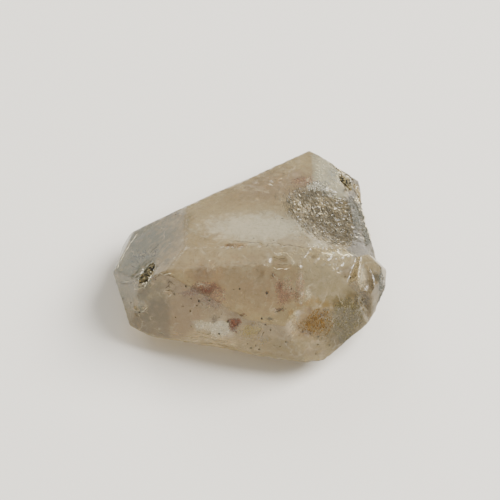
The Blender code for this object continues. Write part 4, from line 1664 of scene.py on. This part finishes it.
def quartz_material():
    material, tree, shader = new_material("quartz", 0.3)
    shader.inputs["IOR"].default_value = QUARTZ_IOR
    shader.inputs["Transmission Weight"].default_value = QUARTZ_TRANSMISSION
    where = use_group(tree, "place")
    place, shaken = where["Place"], where["Shaken"]
    fine = mottled(tree, place, FINE_MOTTLE)
    feed(tree, quartz_colour(tree, place, shaken, fine), shader.inputs["Base Color"])
    height = measure(tree, "DOT_PRODUCT", place, (0.0, 0.0, 1.0))
    frost = reckon(tree, "MULTIPLY_ADD", fine, MOTTLED_FROST, FROST)
    worn = ease(tree, height, *BED_FROST_HEIGHTS)
    frost = reckon(tree, "MULTIPLY_ADD", worn, BED_FROST, frost)
    feed(tree, frost, shader.inputs["Roughness"])
    frosted(tree, shader, place, QUARTZ_GRAIN, QUARTZ_GRAIN_STRENGTH)
    absorb = tree.nodes.new("ShaderNodeVolumeAbsorption")
    absorb.inputs["Color"].default_value = ABSORPTION_COLOUR
    absorb.inputs["Density"].default_value = ABSORPTION_DENSITY
    feed(tree, absorb.outputs["Volume"], tree.nodes["Material Output"].inputs["Volume"])
    return material


def mineral_material(name, light, dark, roughness, size, sharpness=0.0):
    """A material for small minerals: two colours, unevenly mixed, with a fine grain."""
    material, tree, shader = new_material(name, roughness)
    shader.inputs["Specular IOR Level"].default_value = MINERAL_SHEEN
    place = use_group(tree, "place")["Place"]
    mix = ease(tree, mottled(tree, place, size), sharpness, 1.0 - sharpness)
    feed(tree, tinted(tree, mix, (*light, 1), (*dark, 1)), shader.inputs["Base Color"])
    frosted(tree, shader, place, size * MINERAL_GRAIN, MINERAL_GRAIN_STRENGTH)
    return material


# The pieces


def quartz(shape):
    """The crystal itself. Gives back its finished skin, which the inclusions lie under."""
    skin = quartz_skin(shape)
    low, high = (Vector(corner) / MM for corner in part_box("quartz_crystal"))
    piece = skin.finish("quartz", low, high)
    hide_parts("quartz_crystal")
    dress(piece, quartz_material())
    return skin.surface()


def inclusions(surface):
    draw = random.Random(5)
    parts = {}
    for heap in HEAPS:
        parts[heap.name] = scattered(heap.clusters, surface, heap.tilt, draw)
        parts[heap.name] += bedded(heap.beds, surface, heap.tilt, draw)
    parts["milk_flakes"] += pit_halo(surface, welded("actinolite_pit_crust"), draw)
    for crumbs in CRUSHED_QUARTZ:
        parts["milk_flakes"] += crushed_border(surface, crumbs, draw)
    parts["dark_grains"] += specks(surface, draw)
    for heap in HEAPS:
        piece = gathered(heap.name, parts[heap.name])
        finish = mineral_material(heap.name.replace("_", " "), heap.light, heap.dark, 0.5, 0.6)
        dress(piece, finish)


def bright_threads(surface):
    draw = random.Random(21)
    # Cracks and edges, the crest's painted sparkle, and the hollow's pale curls, partly painted
    # highlights.
    parts = lines(surface, BRIGHT_LINES, BRIGHT_DEPTH, draw)
    parts += hackle_threads(surface, HACKLE_LINES, CURL_DEPTH, draw)
    parts += brushed(surface, BRIGHT_TUFTS, draw)
    piece = gathered("healed_cracks", parts)
    dress(piece, mineral_material("healed cracks", *CRACK_AND_GLINT_COLOURS, 0.45, 0.8))


def dark_threads(surface):
    draw = random.Random(23)
    # Cracks, fibres and needles, painted contact shadow along the bottom edge, and the hollow's
    # dark fibres, partly painted shade.
    parts = lines(surface, DARK_LINES, DARK_DEPTH, draw)
    parts += lines(surface, RIM_LINES, RIM_DEPTH, draw)
    parts += hackle_threads(surface, HACKLE_FIBRES, FIBRE_DEPTH, draw)
    parts += spray(surface, draw)
    parts += brushed(surface, DARK_TUFTS, draw)
    piece = gathered("actinolite_fibres", parts)
    dress(piece, mineral_material("actinolite fibres", *FIBRE_AND_SHADE_COLOURS, 0.5, 0.6))


def crusts(crystal):
    """Replaces each crust's plain solid with a copy that is covered in blades."""
    draw = random.Random(9)
    hull = hull_of(crystal)
    finish = mineral_material("actinolite", *CRUST_COLOURS, 0.45, 0.5, sharpness=0.3)
    for crust in CRUSTS:
        node = f"actinolite_{crust.name}_crust"
        shape = welded(node)
        bed = [vertex.co.copy() for vertex in shape.verts]
        base = (bed, [tuple(vertex.index for vertex in face.verts) for face in shape.faces])
        parts = [base] + blades(hull, shape, crust, draw)
        piece = gathered(f"actinolite_{crust.name}_blades", parts)
        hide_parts(node)
        dress(piece, finish)


# Floor, camera and light


def floor():
    mesh = bpy.data.meshes.new("floor")
    shape = bmesh.new()
    bmesh.ops.create_grid(shape, x_segments=1, y_segments=1, size=FLOOR_REACH)
    shape.to_mesh(mesh)
    shape.free()
    ground = link("floor", mesh)
    material, tree, shader = new_material("pale floor", 0.6)
    shader.inputs["Base Color"].default_value = FLOOR_COLOUR
    ground.data.materials.append(material)


def hang(holder, place, towards):
    """Puts a camera or a lamp at a place, so that it looks against a direction."""
    holder.location = place
    holder.rotation_euler = (-towards).to_track_quat("-Z", "Y").to_euler()


def camera():
    lens = bpy.data.cameras.new("camera")
    lens.sensor_width = SENSOR_WIDTH
    lens.lens = SENSOR_WIDTH * CAMERA_DISTANCE / (PHOTO_SIZE * PIXEL)
    lens.clip_start = 0.05
    lens.clip_end = 10
    eye = link("camera", lens)
    away = view_axes()[0]
    hang(eye, (CAMERA_TARGET + away * CAMERA_DISTANCE) * MM, away)
    bpy.context.scene.camera = eye


def lights():
    for lamp in LAMPS:
        light = bpy.data.lights.new(lamp.name, "AREA")
        light.shape = "DISK"
        light.size = lamp.size
        light.energy = lamp.watts
        light.color = lamp.colour
        towards = outward(lamp.facing, lamp.tilt)
        hang(link(lamp.name, light), towards * lamp.distance, towards)
    world = bpy.data.worlds.new("soft room")
    bpy.context.scene.world = world
    world.use_nodes = True
    background = world.node_tree.nodes["Background"]
    background.inputs["Color"].default_value = ROOM_COLOUR
    background.inputs["Strength"].default_value = ROOM_STRENGTH


noise.seed_set(WANDER_SEED)
camera()
lights()
floor()
crystal = welded("quartz_crystal")
skin = quartz(crystal)
inclusions(skin)
bright_threads(skin)
dark_threads(skin)
crusts(crystal)
